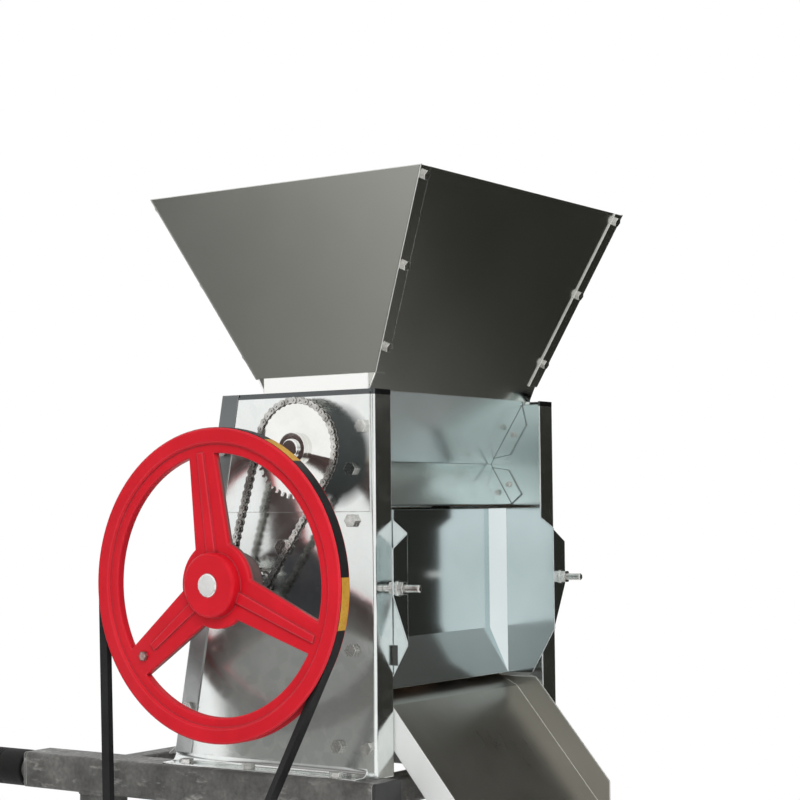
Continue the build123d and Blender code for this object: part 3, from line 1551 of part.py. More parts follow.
# Motor shelf with slots along which the motor is drawn back to tighten the belt
shelf_half = leg_spacing_x / 2 + bar_size / 2
shelf_front = motor_y - shelf_depth / 2
shelf_spots = [
    (a * leg_spacing_x / 2, motor_y + b * (shelf_depth / 2 - 7)) for a in (-1, 1) for b in (-1, 1)
]
with BuildPart() as motor_shelf:
    with BuildSketch(Plane.XY.offset(shelf_z - shelf_thickness)):
        with Locations((0, motor_y)):
            RectangleRounded(2 * shelf_half, shelf_depth, 8)
        with Locations(*motor_foot_spots):
            SlotOverall(34, m8 + 2 * screw_fit, rotation=90, mode=Mode.SUBTRACT)
        with Locations(*shelf_spots):
            Circle(m8 / 2 + screw_fit, mode=Mode.SUBTRACT)
    extrude(amount=shelf_thickness)
motor_shelf.part.label = "motor_shelf"
export_step(motor_shelf.part, "parts/motor_shelf.step")

# Bolts of the motor's feet and of the shelf
foot_bolt_length = foot_pad + shelf_thickness + 12
shelf_bolt_length = shelf_thickness + tube_wall + 6
with BuildPart() as motor_bolts:
    add(hex_bolts(Plane.XY.offset(shelf_z + foot_pad), motor_foot_spots, m8, foot_bolt_length))
    add(hex_bolts(Plane.XY.offset(shelf_z), shelf_spots, m8, shelf_bolt_length))
    with BuildSketch(Plane.XY.offset(shelf_z - shelf_thickness)):
        with Locations(*motor_foot_spots):
            RegularPolygon(m8 * hex_share, 6)
    extrude(amount=-nut_height)
motor_bolts.part.label = "motor_bolts"
export_step(motor_bolts.part, "parts/motor_bolts.step")

# Stand: two rails on four legs, cross bars, side bars and foot plates
leg_half_x = leg_spacing_x / 2
leg_half_y = leg_spacing_y / 2
rail_z = stand_height - rail_height / 2
rail_length = leg_spacing_y + rail_front + rail_rear
rail_end_y = leg_half_y + rail_rear
with BuildPart() as stand_rails:
    with BuildSketch(Plane.XZ.offset(-rail_end_y)):
        with Locations((-leg_half_x, rail_z), (leg_half_x, rail_z)):
            RectangleRounded(rail_width, rail_height, tube_round)
            Rectangle(rail_width - 2 * tube_wall, rail_height - 2 * tube_wall, mode=Mode.SUBTRACT)
    extrude(amount=rail_length)
    with BuildSketch(Plane.XY.offset(stand_height)):
        with Locations(*base_bolts):
            Circle(m8 / 2 + run_fit)
    extrude(amount=-2 * tube_wall, mode=Mode.SUBTRACT)
stand_rails.part.label = "stand_rails"
export_step(stand_rails.part, "parts/stand_rails.step")

with BuildPart() as stand_legs:
    with BuildSketch(Plane.XY.offset(foot_thickness)):
        with GridLocations(leg_spacing_x, leg_spacing_y, 2, 2):
            RectangleRounded(leg_size, leg_size, tube_round)
            Rectangle(leg_size - 2 * tube_wall, leg_size - 2 * tube_wall, mode=Mode.SUBTRACT)
    extrude(amount=stand_height - rail_height - foot_thickness)
stand_legs.part.label = "stand_legs"
export_step(stand_legs.part, "parts/stand_legs.step")

bar_hole = bar_size - 2 * tube_wall
bar_z = bar_height + bar_size / 2
upper_bar = leg_spacing_x - rail_width
lower_bar = leg_spacing_x - leg_size
side_bar = leg_spacing_y - leg_size
with BuildPart() as stand_bars:
    for bar_length, z in ((upper_bar, rail_z), (lower_bar, bar_z)):
        with BuildSketch(Plane.YZ.offset(-bar_length / 2)):
            with Locations((-leg_half_y, z), (leg_half_y, z)):
                RectangleRounded(bar_size, bar_size, tube_round)
                Rectangle(bar_hole, bar_hole, mode=Mode.SUBTRACT)
        extrude(amount=bar_length)
    with BuildSketch(Plane.XZ.offset(-side_bar / 2)):
        with Locations((-leg_half_x, bar_z), (leg_half_x, bar_z)):
            RectangleRounded(bar_size, bar_size, tube_round)
            Rectangle(bar_hole, bar_hole, mode=Mode.SUBTRACT)
    extrude(amount=side_bar)
    with BuildSketch(Plane.XY.offset(bar_height + bar_size)):
        with Locations(*shelf_spots):
            Circle(m8 / 2 + run_fit)
    extrude(amount=-2 * tube_wall, mode=Mode.SUBTRACT)
stand_bars.part.label = "stand_bars"
export_step(stand_bars.part, "parts/stand_bars.step")

# Foot plates reach outside the legs for the floor bolts
foot_x = leg_half_x - leg_size / 2 - 8 + foot_width / 2
with BuildPart() as foot_plates:
    with BuildSketch(Plane.XY):
        with GridLocations(2 * foot_x, leg_spacing_y, 2, 2):
            RectangleRounded(foot_width, foot_depth, 8)
        with GridLocations(2 * (leg_half_x + foot_hole_offset), leg_spacing_y, 2, 2):
            Circle(foot_hole_diameter / 2, mode=Mode.SUBTRACT)
    extrude(amount=foot_thickness)
foot_plates.part.label = "foot_plates"
export_step(foot_plates.part, "parts/foot_plates.step")

# Handle bars on end plates at the rails' rear ends, with round rubber grips
handle_r = handle_diameter / 2
handle_z = rail_z - handle_drop
end_plate = 4.0
handle_start_y = rail_end_y + end_plate
handle_spots = [(-leg_half_x, handle_z), (leg_half_x, handle_z)]
with BuildPart() as rail_handles:
    with BuildSketch(Plane.XZ.offset(-rail_end_y)):
        with Locations((-leg_half_x, rail_z), (leg_half_x, rail_z)):
            RectangleRounded(rail_width, rail_height, tube_round)
    extrude(amount=-end_plate)
    with BuildSketch(Plane.XZ.offset(-handle_start_y)):
        with Locations(*handle_spots):
            Circle(handle_r)
    extrude(amount=-handle_length)
rail_handles.part.label = "rail_handles"
export_step(rail_handles.part, "parts/rail_handles.step")

grip_end_y = handle_start_y + handle_length + grip_wall
with BuildPart() as rail_grips:
    with BuildSketch(Plane.XZ.offset(-grip_end_y)):
        with Locations(*handle_spots):
            Circle(handle_r + grip_wall)
    extrude(amount=grip_length)
    fillet(rail_grips.edges().filter_by(GeomType.CIRCLE).group_by(Axis.Y)[0], 2.5)
    fillet(rail_grips.edges().filter_by(GeomType.CIRCLE).group_by(Axis.Y)[-1], 4)
    with BuildSketch(Plane.XZ.offset(-grip_end_y + grip_wall)):
        with Locations(*handle_spots):
            Circle(handle_r)
    extrude(amount=grip_length, mode=Mode.SUBTRACT)
rail_grips.part.label = "rail_grips"
export_step(rail_grips.part, "parts/rail_grips.step")

rail_front_y = rail_end_y - rail_length
plug_depth = 20.0
with BuildPart() as rail_plugs:
    with BuildSketch(Plane.XZ.offset(-rail_front_y)):
        with Locations((-leg_half_x, rail_z), (leg_half_x, rail_z)):
            RectangleRounded(rail_width, rail_height, tube_round)
    extrude(amount=4)
    with BuildSketch(Plane.XZ.offset(-rail_front_y)):
        with Locations((-leg_half_x, rail_z), (leg_half_x, rail_z)):
            Rectangle(rail_width - 2 * tube_wall - clear, rail_height - 2 * tube_wall - clear)
    extrude(amount=-plug_depth)
rail_plugs.part.label = "rail_plugs"
export_step(rail_plugs.part, "parts/rail_plugs.step")
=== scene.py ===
from math import pi, radians

import bpy
from mathutils import Matrix, Vector


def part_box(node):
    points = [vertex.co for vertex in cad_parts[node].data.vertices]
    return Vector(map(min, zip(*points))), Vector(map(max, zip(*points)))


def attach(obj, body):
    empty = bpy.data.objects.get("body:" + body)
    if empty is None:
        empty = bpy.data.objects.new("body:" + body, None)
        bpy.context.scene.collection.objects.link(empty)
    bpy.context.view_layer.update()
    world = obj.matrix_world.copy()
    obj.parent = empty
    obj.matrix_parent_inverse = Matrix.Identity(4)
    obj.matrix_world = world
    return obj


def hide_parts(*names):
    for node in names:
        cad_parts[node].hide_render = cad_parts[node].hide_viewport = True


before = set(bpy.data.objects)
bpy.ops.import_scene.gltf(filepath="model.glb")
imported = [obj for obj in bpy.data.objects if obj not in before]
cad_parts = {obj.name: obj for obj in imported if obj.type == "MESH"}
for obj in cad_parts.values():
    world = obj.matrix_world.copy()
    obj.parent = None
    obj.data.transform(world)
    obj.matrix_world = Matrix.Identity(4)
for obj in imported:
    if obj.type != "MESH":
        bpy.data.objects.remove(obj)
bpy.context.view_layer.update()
bpy.ops.object.select_all(action="DESELECT")


# Stand: two long box rails on four legs, tied by square bars, with a drilled plate under each leg.
# It is welded steel tube under one thin coat of dark grey paint, gone blotchy and rubbed pale on its corners.
def put(tree, kind, settings=None, **sockets):
    """Adds a shader node. A socket named _2 is the third one, and takes a value or another node's output."""
    node = tree.nodes.new("ShaderNode" + kind)
    for name, value in (settings or {}).items():
        setattr(node, name, value)
    for name, value in sockets.items():
        socket = node.inputs[int(name[1:]) if name[1:].isdigit() else name.replace("_", " ")]
        if isinstance(value, bpy.types.NodeSocket):
            tree.links.new(value, socket)
        else:
            socket.default_value = value
    return node


def blend(tree, amount, low, high):
    """A colour between two others, by an amount from 0 to 1."""
    return put(tree, "Mix", {"data_type": "RGBA"}, _0=amount, _6=low, _7=high).outputs[2]


def spread(tree, value, low, high, to_low=0.0, to_high=1.0):
    """A value moved from one range to another, and held inside it."""
    return put(tree, "MapRange", Value=value, From_Min=low, From_Max=high, To_Min=to_low, To_Max=to_high).outputs[0]


def reckon(tree, operation, first, second):
    return put(tree, "Math", {"operation": operation}, _0=first, _1=second).outputs[0]


def new_effect(name, given, made):
    """An empty shader node group and its sockets, given as {name: (kind, default)} and {name: kind}."""
    effect = bpy.data.node_groups.new(name, "ShaderNodeTree")
    for socket, (kind, value) in given.items():
        face = effect.interface.new_socket(socket, in_out="INPUT", socket_type="NodeSocket" + kind)
        if value is not None:
            face.default_value = value
    for socket, kind in made.items():
        effect.interface.new_socket(socket, in_out="OUTPUT", socket_type="NodeSocket" + kind)
    return effect, effect.nodes.new("NodeGroupInput").outputs, effect.nodes.new("NodeGroupOutput").inputs


def new_finish(name):
    """A new material, with its node tree, its Principled shader and the object's own coordinates."""
    finish = bpy.data.materials.new(name)
    finish.use_nodes = True
    tree = finish.node_tree
    return finish, tree, tree.nodes["Principled BSDF"], put(tree, "TexCoord").outputs["Object"]


def dress(finish, *names):
    """Gives CAD nodes a finish in their own material slots."""
    for name in names:
        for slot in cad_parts[name].material_slots:
            slot.material = finish


edge_rub_and_light_group, given, made = new_effect(
    "edge_rub_and_light_group", {"Radius": ("Float", 0.002), "Reach": ("Float", 0.12)}, {"Edge": "Float", "Normal": "Vector"}
)
rounded = put(edge_rub_and_light_group, "Bevel", {"samples": 6}, Radius=given["Radius"]).outputs[0]
flat = put(edge_rub_and_light_group, "NewGeometry").outputs["Normal"]
likeness = put(edge_rub_and_light_group, "VectorMath", {"operation": "DOT_PRODUCT"}, _0=rounded, _1=flat).outputs["Value"]
turned = reckon(edge_rub_and_light_group, "SUBTRACT", 1.0, likeness)
edge_rub_and_light_group.links.new(spread(edge_rub_and_light_group, turned, 0.01, given["Reach"]), made["Edge"])
edge_rub_and_light_group.links.new(rounded, made["Normal"])

blotches, given, made = new_effect(
    "blotches",
    {"Place": ("Vector", None), "Patches": ("Float", 9.0), "Specks": ("Float", 160.0)},
    {"Patch": "Float", "Speck": "Float"},
)
place = given["Place"]
patch = put(blotches, "TexNoise", Vector=place, Scale=given["Patches"], Detail=6.0, Roughness=0.62).outputs[0]
speck = put(blotches, "TexNoise", Vector=place, Scale=given["Specks"], Detail=4.0, Roughness=0.6).outputs[0]
blotches.links.new(spread(blotches, patch, 0.32, 0.68), made["Patch"])
blotches.links.new(spread(blotches, speck, 0.3, 0.7), made["Speck"])


def rub_and_light_near_edges(tree, radius, reach):
    """How near a face lies to its edges, a mask for rubbed wear and in places for painted highlight and painted shade,
    and its normal rounded there.
    """
    return put(tree, "Group", {"node_tree": edge_rub_and_light_group}, Radius=radius, Reach=reach).outputs


def mottle(tree, place, patches, specks):
    """Wide patches and fine specks, each at its own scale."""
    return put(tree, "Group", {"node_tree": blotches}, Place=place, Patches=patches, Specks=specks).outputs


stand_paint, tree, shader, place = new_finish("stand_paint")
edge_rub_and_light = rub_and_light_near_edges(tree, radius=0.0025, reach=0.14)
marks = mottle(tree, place, patches=24.0, specks=210.0)
drawn = put(tree, "Mapping", Vector=place, Scale=(1.0, 0.35, 1.0)).outputs[0]
scuffs = mottle(tree, drawn, patches=70.0, specks=330.0)
tone = blend(tree, marks["Patch"], (0.062, 0.061, 0.057, 1), (0.185, 0.181, 0.170, 1))
tone = blend(tree, reckon(tree, "MULTIPLY", marks["Speck"], 0.45), tone, (0.030, 0.029, 0.028, 1))
scuffed = reckon(tree, "MULTIPLY", spread(tree, scuffs["Patch"], 0.70, 0.95), scuffs["Speck"])
tone = blend(tree, scuffed, tone, (0.36, 0.35, 0.33, 1))
rubbed = reckon(tree, "MULTIPLY", edge_rub_and_light["Edge"], marks["Speck"])
tree.links.new(blend(tree, rubbed, tone, (0.50, 0.50, 0.48, 1)), shader.inputs["Base Color"])
tree.links.new(spread(tree, marks["Speck"], 0.0, 1.0, 0.38, 0.60), shader.inputs["Roughness"])
tree.links.new(spread(tree, rubbed, 0.0, 1.0, 0.0, 0.8), shader.inputs["Metallic"])
bump = put(tree, "Bump", Strength=0.3, Distance=0.0006, Height=marks["Speck"], Normal=edge_rub_and_light["Normal"])
tree.links.new(bump.outputs[0], shader.inputs["Normal"])
dress(stand_paint, "stand_rails", "stand_legs", "stand_bars", "foot_plates", "motor_shelf", "rail_handles")


# Weld beads: each end of a leg or bar is welded where it meets its neighbour, in short rippled runs.
# One bead is drawn out ring by ring, and copied to every joint under the same paint.
bead_radius, bead_ring, bead_rings, bead_sides = 0.0032, 0.0024, 11, 10
end_share, first_swell, ripple, last_swell = 0.55, 1.6, [0.82, 1.22], 0.6
bead_length = bead_ring * (bead_rings + 1)
bead_end = (0, 0, -bead_length / 2)
bpy.ops.mesh.primitive_circle_add(
    vertices=bead_sides, radius=bead_radius * end_share, fill_type="NGON", location=bead_end
)
bead = bpy.context.object
bpy.ops.object.mode_set(mode="EDIT")
swell = [first_swell] + ripple * (bead_rings // 2) + [last_swell]
for number, ratio in enumerate(swell):
    bpy.ops.mesh.extrude_region_move(TRANSFORM_OT_translate={"value": (0, 0, bead_ring)})
    middle = (0, 0, bead_ring * (number + 1) - bead_length / 2)
    bpy.ops.transform.resize(value=(ratio, ratio, 1), center_override=middle)
bpy.ops.mesh.select_all(action="SELECT")
bpy.ops.mesh.normals_make_consistent(inside=False)
bpy.ops.object.mode_set(mode="OBJECT")
bpy.ops.object.transform_apply(location=True, rotation=True, scale=True)
bpy.ops.object.shade_smooth()

leg_x, leg_y, leg_half, bar_half, bar_top = 0.190, 0.175, 0.020, 0.015, 0.076
rail_half, upper_bar_rise = 0.023, 0.020
leg_run, bar_run = 1.25, 0.9
rail_under, foot_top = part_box("stand_rails")[0].z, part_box("foot_plates")[1].z
rail_inside, rail_middle, bar_middle = leg_x - rail_half, rail_under + upper_bar_rise, bar_top - bar_half
runs = []
for a in (-1, 1):
    for b in (-1, 1):
        for side in (-1, 1):
            for height in (rail_under, foot_top):
                runs.append(((a * leg_x, b * leg_y + side * leg_half, height), "X", leg_run))
                runs.append(((a * leg_x + side * leg_half, b * leg_y, height), "Y", leg_run))
            runs.append(((a * (leg_x - leg_half), b * leg_y + side * bar_half, bar_middle), "Z", bar_run))
            runs.append(((a * leg_x + side * bar_half, b * (leg_y - leg_half), bar_middle), "Z", bar_run))
            runs.append(((a * rail_inside, b * leg_y + side * bar_half, rail_middle), "Z", bar_run))
            runs.append(((a * rail_inside, b * leg_y, rail_middle + side * bar_half), "Y", bar_run))
        runs.append(((a * (leg_x - leg_half), b * leg_y, bar_top), "Y", bar_run))
        runs.append(((a * leg_x, b * (leg_y - leg_half), bar_top), "X", bar_run))
lie = {"X": Matrix.Rotation(pi / 2, 4, "Y"), "Y": Matrix.Rotation(pi / 2, 4, "X"), "Z": Matrix.Identity(4)}
beads = []
for spot, way, stretch in runs:
    bpy.ops.object.select_all(action="DESELECT")
    bead.select_set(True)
    bpy.context.view_layer.objects.active = bead
    bpy.ops.object.duplicate()
    beads.append(bpy.context.view_layer.objects.active)
    beads[-1].matrix_world = Matrix.Translation(spot) @ lie[way] @ Matrix.Diagonal((1, 1, stretch, 1))
bpy.data.objects.remove(bead)
bpy.ops.object.select_all(action="DESELECT")
for run in beads:
    run.select_set(True)
weld_beads = bpy.context.view_layer.objects.active = beads[0]
bpy.ops.object.join()
bpy.ops.object.transform_apply(location=True, rotation=True, scale=True)
weld_beads.name = "weld_beads"
weld_beads.data.materials.append(stand_paint)
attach(weld_beads, "frame")


# Rail ends: a pressed-in plastic plug closes the front of each rail. At the back a bar stands out, and a moulded
# rubber sleeve, plain at its mouth, grooved behind and closed by a round end, is pushed over it for lifting.
end_plastic, tree, shader, place = new_finish("end_plastic")
marks = mottle(tree, place, patches=30.0, specks=900.0)
tone = blend(tree, marks["Patch"], (0.018, 0.018, 0.019, 1), (0.032, 0.032, 0.033, 1))
tree.links.new(tone, shader.inputs["Base Color"])
tree.links.new(spread(tree, marks["Speck"], 0.0, 1.0, 0.38, 0.52), shader.inputs["Roughness"])
bump = put(tree, "Bump", Strength=0.2, Distance=0.0003, Height=marks["Speck"])
tree.links.new(bump.outputs[0], shader.inputs["Normal"])
dress(end_plastic, "rail_plugs", "cable_gland", "motor_fan")

grip_rubber, tree, shader, place = new_finish("grip_rubber")
marks = mottle(tree, place, patches=18.0, specks=600.0)
edge_rub_and_light = rub_and_light_near_edges(tree, radius=0.0012, reach=0.2)
tone = blend(tree, marks["Patch"], (0.006, 0.006, 0.006, 1), (0.014, 0.014, 0.0135, 1))
tone = blend(tree, reckon(tree, "MULTIPLY", edge_rub_and_light["Edge"], 0.3), tone, (0.05, 0.05, 0.049, 1))
tree.links.new(tone, shader.inputs["Base Color"])
tree.links.new(spread(tree, marks["Speck"], 0.0, 1.0, 0.5, 0.72), shader.inputs["Roughness"])
shader.inputs["Specular IOR Level"].default_value = 0.2
bump = put(tree, "Bump", Strength=0.3, Distance=0.0004, Height=marks["Speck"], Normal=edge_rub_and_light["Normal"])
tree.links.new(bump.outputs[0], shader.inputs["Normal"])

grip_low, grip_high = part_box("rail_grips")
grip_radius = (grip_high.z - grip_low.z) / 2
plain_length, dome_length, mouth_room, grooves, grip_sides = 0.034, 0.009, 0.0023, 6, 56
mouth_depth, groove_depth, crease = 0.0022, 0.0016, radians(32)
land = (grip_high.y - grip_low.y - mouth_room - plain_length - dome_length) / grooves
fall, bottom, rise, crest = land * 0.14, land * 0.10, land * 0.14, land * 0.62
# A ring is its advance along the sleeve, and its depth inside the full radius.
mouth = [(0.0005, 0.0009), (0.0007, 0.0003), (0.0010, 0.0), (plain_length, 0.0)]
groove = [(fall, groove_depth), (bottom, groove_depth), (rise, 0.0), (crest, 0.0)]
dome = [(0.0030, 0.0007), (0.0026, 0.0022), (0.0018, 0.0044), (0.0011, 0.0076), (0.0005, 0.0126)]
for side, name in ((-1, "left_grip"), (1, "right_grip")):
    axis = (side * (grip_high.x - grip_radius), grip_low.y, (grip_low.z + grip_high.z) / 2)
    bpy.ops.object.select_all(action="DESELECT")
    bpy.ops.mesh.primitive_circle_add(
        vertices=grip_sides, radius=grip_radius - mouth_depth, fill_type="NGON", location=axis, rotation=(pi / 2, 0, 0)
    )
    grip = bpy.context.object
    bpy.ops.object.transform_apply(location=True, rotation=True, scale=True)
    bpy.ops.object.mode_set(mode="EDIT")
    radius, along = grip_radius - mouth_depth, grip_low.y
    for advance, depth in mouth + groove * grooves + dome:
        along += advance
        bpy.ops.mesh.extrude_region_move(TRANSFORM_OT_translate={"value": (0, advance, 0)})
        ratio = (grip_radius - depth) / radius
        bpy.ops.transform.resize(value=(ratio, 1, ratio), center_override=(axis[0], along, axis[2]))
        radius = grip_radius - depth
    bpy.ops.mesh.select_all(action="SELECT")
    bpy.ops.mesh.normals_make_consistent(inside=False)
    bpy.ops.object.mode_set(mode="OBJECT")
    bpy.ops.object.shade_smooth_by_angle(angle=crease)
    grip.name = name
    grip.data.materials.append(grip_rubber)
    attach(grip, "frame")
    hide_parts("rail_grips")


# Motor: a ribbed cast shell with a shield at each end and a pressed fan cover, in blue-grey enamel.
# It bolts to a plate across the stand's lower bars.
cast_skin, given, made = new_effect(
    "cast_skin", {"Place": ("Vector", None), "Grain": ("Float", 420.0)}, {"Height": "Float", "Hollow": "Float"}
)
place = given["Place"]
coarse = put(cast_skin, "TexNoise", Vector=place, Scale=given["Grain"], Detail=3.0, Roughness=0.55).outputs[0]
coarse = reckon(cast_skin, "MULTIPLY", coarse, 0.35)
wide = reckon(cast_skin, "MULTIPLY", given["Grain"], 0.14)
broad = put(cast_skin, "TexNoise", Vector=place, Scale=wide, Detail=3.0).outputs[0]
cast_skin.links.new(reckon(cast_skin, "ADD", coarse, broad), made["Height"])
cast_skin.links.new(spread(cast_skin, broad, 0.35, 0.62, 1.0, 0.0), made["Hollow"])

motor_enamel, tree, shader, place = new_finish("motor_enamel")
cast = put(tree, "Group", {"node_tree": cast_skin}, Place=place, Grain=380.0).outputs
edge_rub_and_light = rub_and_light_near_edges(tree, radius=0.0018, reach=0.16)
marks = mottle(tree, place, patches=14.0, specks=120.0)
tone = blend(tree, marks["Patch"], (0.075, 0.115, 0.15, 1), (0.11, 0.155, 0.19, 1))
tone = blend(tree, reckon(tree, "MULTIPLY", cast["Hollow"], 0.5), tone, (0.05, 0.07, 0.085, 1))
chipped = reckon(tree, "MULTIPLY", edge_rub_and_light["Edge"], marks["Speck"])
tone = blend(tree, reckon(tree, "MULTIPLY", chipped, 0.7), tone, (0.30, 0.32, 0.33, 1))
tree.links.new(tone, shader.inputs["Base Color"])
tree.links.new(spread(tree, marks["Patch"], 0.0, 1.0, 0.26, 0.42), shader.inputs["Roughness"])
bump = put(tree, "Bump", Strength=0.35, Distance=0.0005, Height=cast["Height"], Normal=edge_rub_and_light["Normal"])
tree.links.new(bump.outputs[0], shader.inputs["Normal"])
dress(motor_enamel, "motor_barrel", "motor_front_shield", "motor_rear_shield", "motor_fan_cover", "terminal_box")


# Motor's inside and the shafts: a stack of thin iron rings, a turned rotor, the drum's and the feed roller's shafts.
# They are bare steel with fine lathe marks round the shaft, bright on the ends and corners.
turned_steel, tree, shader, place = new_finish("turned_steel")
lathe = put(tree, "Mapping", Vector=place, Scale=(900.0, 6.0, 6.0)).outputs[0]
lathe = put(tree, "TexNoise", Vector=lathe, Scale=1.0, Detail=3.0).outputs[0]
marks = mottle(tree, place, patches=26.0, specks=260.0)
edge_rub_and_light = rub_and_light_near_edges(tree, radius=0.0012, reach=0.2)
tone = blend(tree, marks["Patch"], (0.80, 0.795, 0.78, 1), (0.93, 0.925, 0.91, 1))
tree.links.new(blend(tree, edge_rub_and_light["Edge"], tone, (0.95, 0.945, 0.93, 1)), shader.inputs["Base Color"])
shader.inputs["Metallic"].default_value = 1.0
rough = spread(tree, lathe, 0.3, 0.7, 0.09, 0.17)
rough = reckon(tree, "ADD", rough, spread(tree, marks["Speck"], 0.0, 1.0, 0.0, 0.06))
tree.links.new(rough, shader.inputs["Roughness"])
bump = put(tree, "Bump", Strength=0.1, Distance=0.0002, Height=lathe, Normal=edge_rub_and_light["Normal"])
tree.links.new(bump.outputs[0], shader.inputs["Normal"])
dress(turned_steel, "motor_stator", "motor_rotor", "drum_shaft", "feed_shaft", "drum_bearing_rings", "flywheel_key")
dress(turned_steel, "feed_collar", "feed_roller", "drum_core", "small_sprocket")


# Casing: two side plates with folded front and foot flanges, two upper panels and a lapped rear wall.
# They are folded from galvanised sheet, nearly a mirror, a little wavy, with faint zinc spangle. A thin band of
# painted shade darkens the top edge, and the rear wall's sheet has weathered dull, and is darker towards its top.
zinc_sheet, given, made = new_effect(
    "zinc_sheet",
    {"Place": ("Vector", None), "Spangle": ("Float", 95.0), "Wave": ("Float", 7.0)},
    {"Crystal": "Float", "Cloud": "Float", "Wave": "Float"},
)
place = given["Place"]
crystal = put(zinc_sheet, "TexVoronoi", Vector=place, Scale=given["Spangle"], Randomness=1.0).outputs["Color"]
crystal = put(zinc_sheet, "SeparateColor", Color=crystal).outputs[0]
fine = reckon(zinc_sheet, "MULTIPLY", given["Spangle"], 3.0)
frost = put(zinc_sheet, "TexNoise", Vector=place, Scale=fine, Detail=4.0).outputs[0]
wide = reckon(zinc_sheet, "MULTIPLY", given["Wave"], 1.7)
cloud = put(zinc_sheet, "TexNoise", Vector=place, Scale=wide, Detail=5.0).outputs[0]
wave = put(zinc_sheet, "TexNoise", Vector=place, Scale=given["Wave"], Detail=1.5, Roughness=0.4).outputs[0]
crystal = reckon(zinc_sheet, "MULTIPLY", crystal, 0.6)
frost = reckon(zinc_sheet, "MULTIPLY", frost, 0.4)
zinc_sheet.links.new(reckon(zinc_sheet, "ADD", crystal, frost), made["Crystal"])
zinc_sheet.links.new(spread(zinc_sheet, cloud, 0.33, 0.67), made["Cloud"])
zinc_sheet.links.new(wave, made["Wave"])

galvanised, tree, shader, place = new_finish("galvanised")
zinc = put(tree, "Group", {"node_tree": zinc_sheet}, Place=place, Spangle=85.0, Wave=6.0).outputs
edge_rub_and_light = rub_and_light_near_edges(tree, radius=0.0016, reach=0.16)
where = put(tree, "SeparateXYZ", Vector=place).outputs
tone = blend(tree, zinc["Crystal"], (0.79, 0.825, 0.815, 1), (0.90, 0.925, 0.905, 1))
tone = blend(tree, reckon(tree, "MULTIPLY", zinc["Cloud"], 0.3), tone, (0.74, 0.75, 0.72, 1))
tone = blend(tree, reckon(tree, "MULTIPLY", edge_rub_and_light["Edge"], 0.6), tone, (0.93, 0.935, 0.92, 1))
top_edge, dark_from, dark_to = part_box("upper_panels")[1].z, 0.0030, 0.0024
# Painted shade: a thin dark band along the top edge, where the hopper's skirt stands into the casing.
top_edge_shade = spread(tree, where["Z"], top_edge - dark_from, top_edge - dark_to, 0.0, 0.9)
tone = blend(tree, top_edge_shade, tone, (0.035, 0.042, 0.046, 1))
tree.links.new(tone, shader.inputs["Base Color"])
shader.inputs["Metallic"].default_value = 1.0
rough = spread(tree, zinc["Crystal"], 0.1, 0.9, 0.11, 0.17)
rough = reckon(tree, "ADD", rough, spread(tree, zinc["Cloud"], 0.0, 1.0, 0.0, 0.05))
tree.links.new(rough, shader.inputs["Roughness"])
bump = put(tree, "Bump", Strength=1.0, Distance=0.0011, Height=zinc["Wave"], Normal=edge_rub_and_light["Normal"])
bump = put(tree, "Bump", Strength=0.08, Distance=0.0002, Height=zinc["Crystal"], Normal=bump.outputs[0])
tree.links.new(bump.outputs[0], shader.inputs["Normal"])
dress(galvanised, "left_side_plate", "right_side_plate", "upper_panels")

dull_sheet, tree, shader, place = new_finish("dull_sheet")
zinc = put(tree, "Group", {"node_tree": zinc_sheet}, Place=place, Spangle=70.0, Wave=5.0).outputs
edge_rub_and_light = rub_and_light_near_edges(tree, radius=0.0014, reach=0.16)
tone = blend(tree, zinc["Crystal"], (0.56, 0.58, 0.575, 1), (0.72, 0.735, 0.73, 1))
tone = blend(tree, reckon(tree, "MULTIPLY", zinc["Cloud"], 0.35), tone, (0.50, 0.51, 0.50, 1))
wall_low, wall_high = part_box("rear_wall")
height = put(tree, "SeparateXYZ", Vector=place).outputs["Z"]
# Darker towards the top of the rear wall.
tone = blend(tree, spread(tree, height, wall_low.z, wall_high.z), tone, (0.20, 0.212, 0.215, 1))
tone = blend(tree, reckon(tree, "MULTIPLY", edge_rub_and_light["Edge"], 0.5), tone, (0.80, 0.81, 0.80, 1))
tree.links.new(tone, shader.inputs["Base Color"])
shader.inputs["Metallic"].default_value = 1.0
tree.links.new(spread(tree, zinc["Cloud"], 0.0, 1.0, 0.36, 0.48), shader.inputs["Roughness"])
bump = put(tree, "Bump", Strength=0.8, Distance=0.0008, Height=zinc["Wave"], Normal=edge_rub_and_light["Normal"])
tree.links.new(bump.outputs[0], shader.inputs["Normal"])
dress(dull_sheet, "rear_wall")


# Drum bearings and small castings: flanged iron housings, the breast's shoe and the motor's pulley.
# They are dark and a little rough from the sand, and rubbed grey on their corners.
dark_casting, tree, shader, place = new_finish("dark_casting")
cast = put(tree, "Group", {"node_tree": cast_skin}, Place=place, Grain=520.0).outputs
edge_rub_and_light = rub_and_light_near_edges(tree, radius=0.002, reach=0.14)
tone = blend(tree, cast["Hollow"], (0.085, 0.085, 0.088, 1), (0.035, 0.033, 0.032, 1))
tone = blend(tree, reckon(tree, "MULTIPLY", edge_rub_and_light["Edge"], 0.6), tone, (0.26, 0.26, 0.265, 1))
tree.links.new(tone, shader.inputs["Base Color"])
shader.inputs["Metallic"].default_value = 0.6
tree.links.new(spread(tree, cast["Hollow"], 0.0, 1.0, 0.42, 0.62), shader.inputs["Roughness"])
bump = put(tree, "Bump", Strength=0.5, Distance=0.0008, Height=cast["Height"], Normal=edge_rub_and_light["Normal"])
tree.links.new(bump.outputs[0], shader.inputs["Normal"])
dress(dark_casting, "drum_bearing_housings", "feed_bearings", "breast_shoe", "motor_pulley")


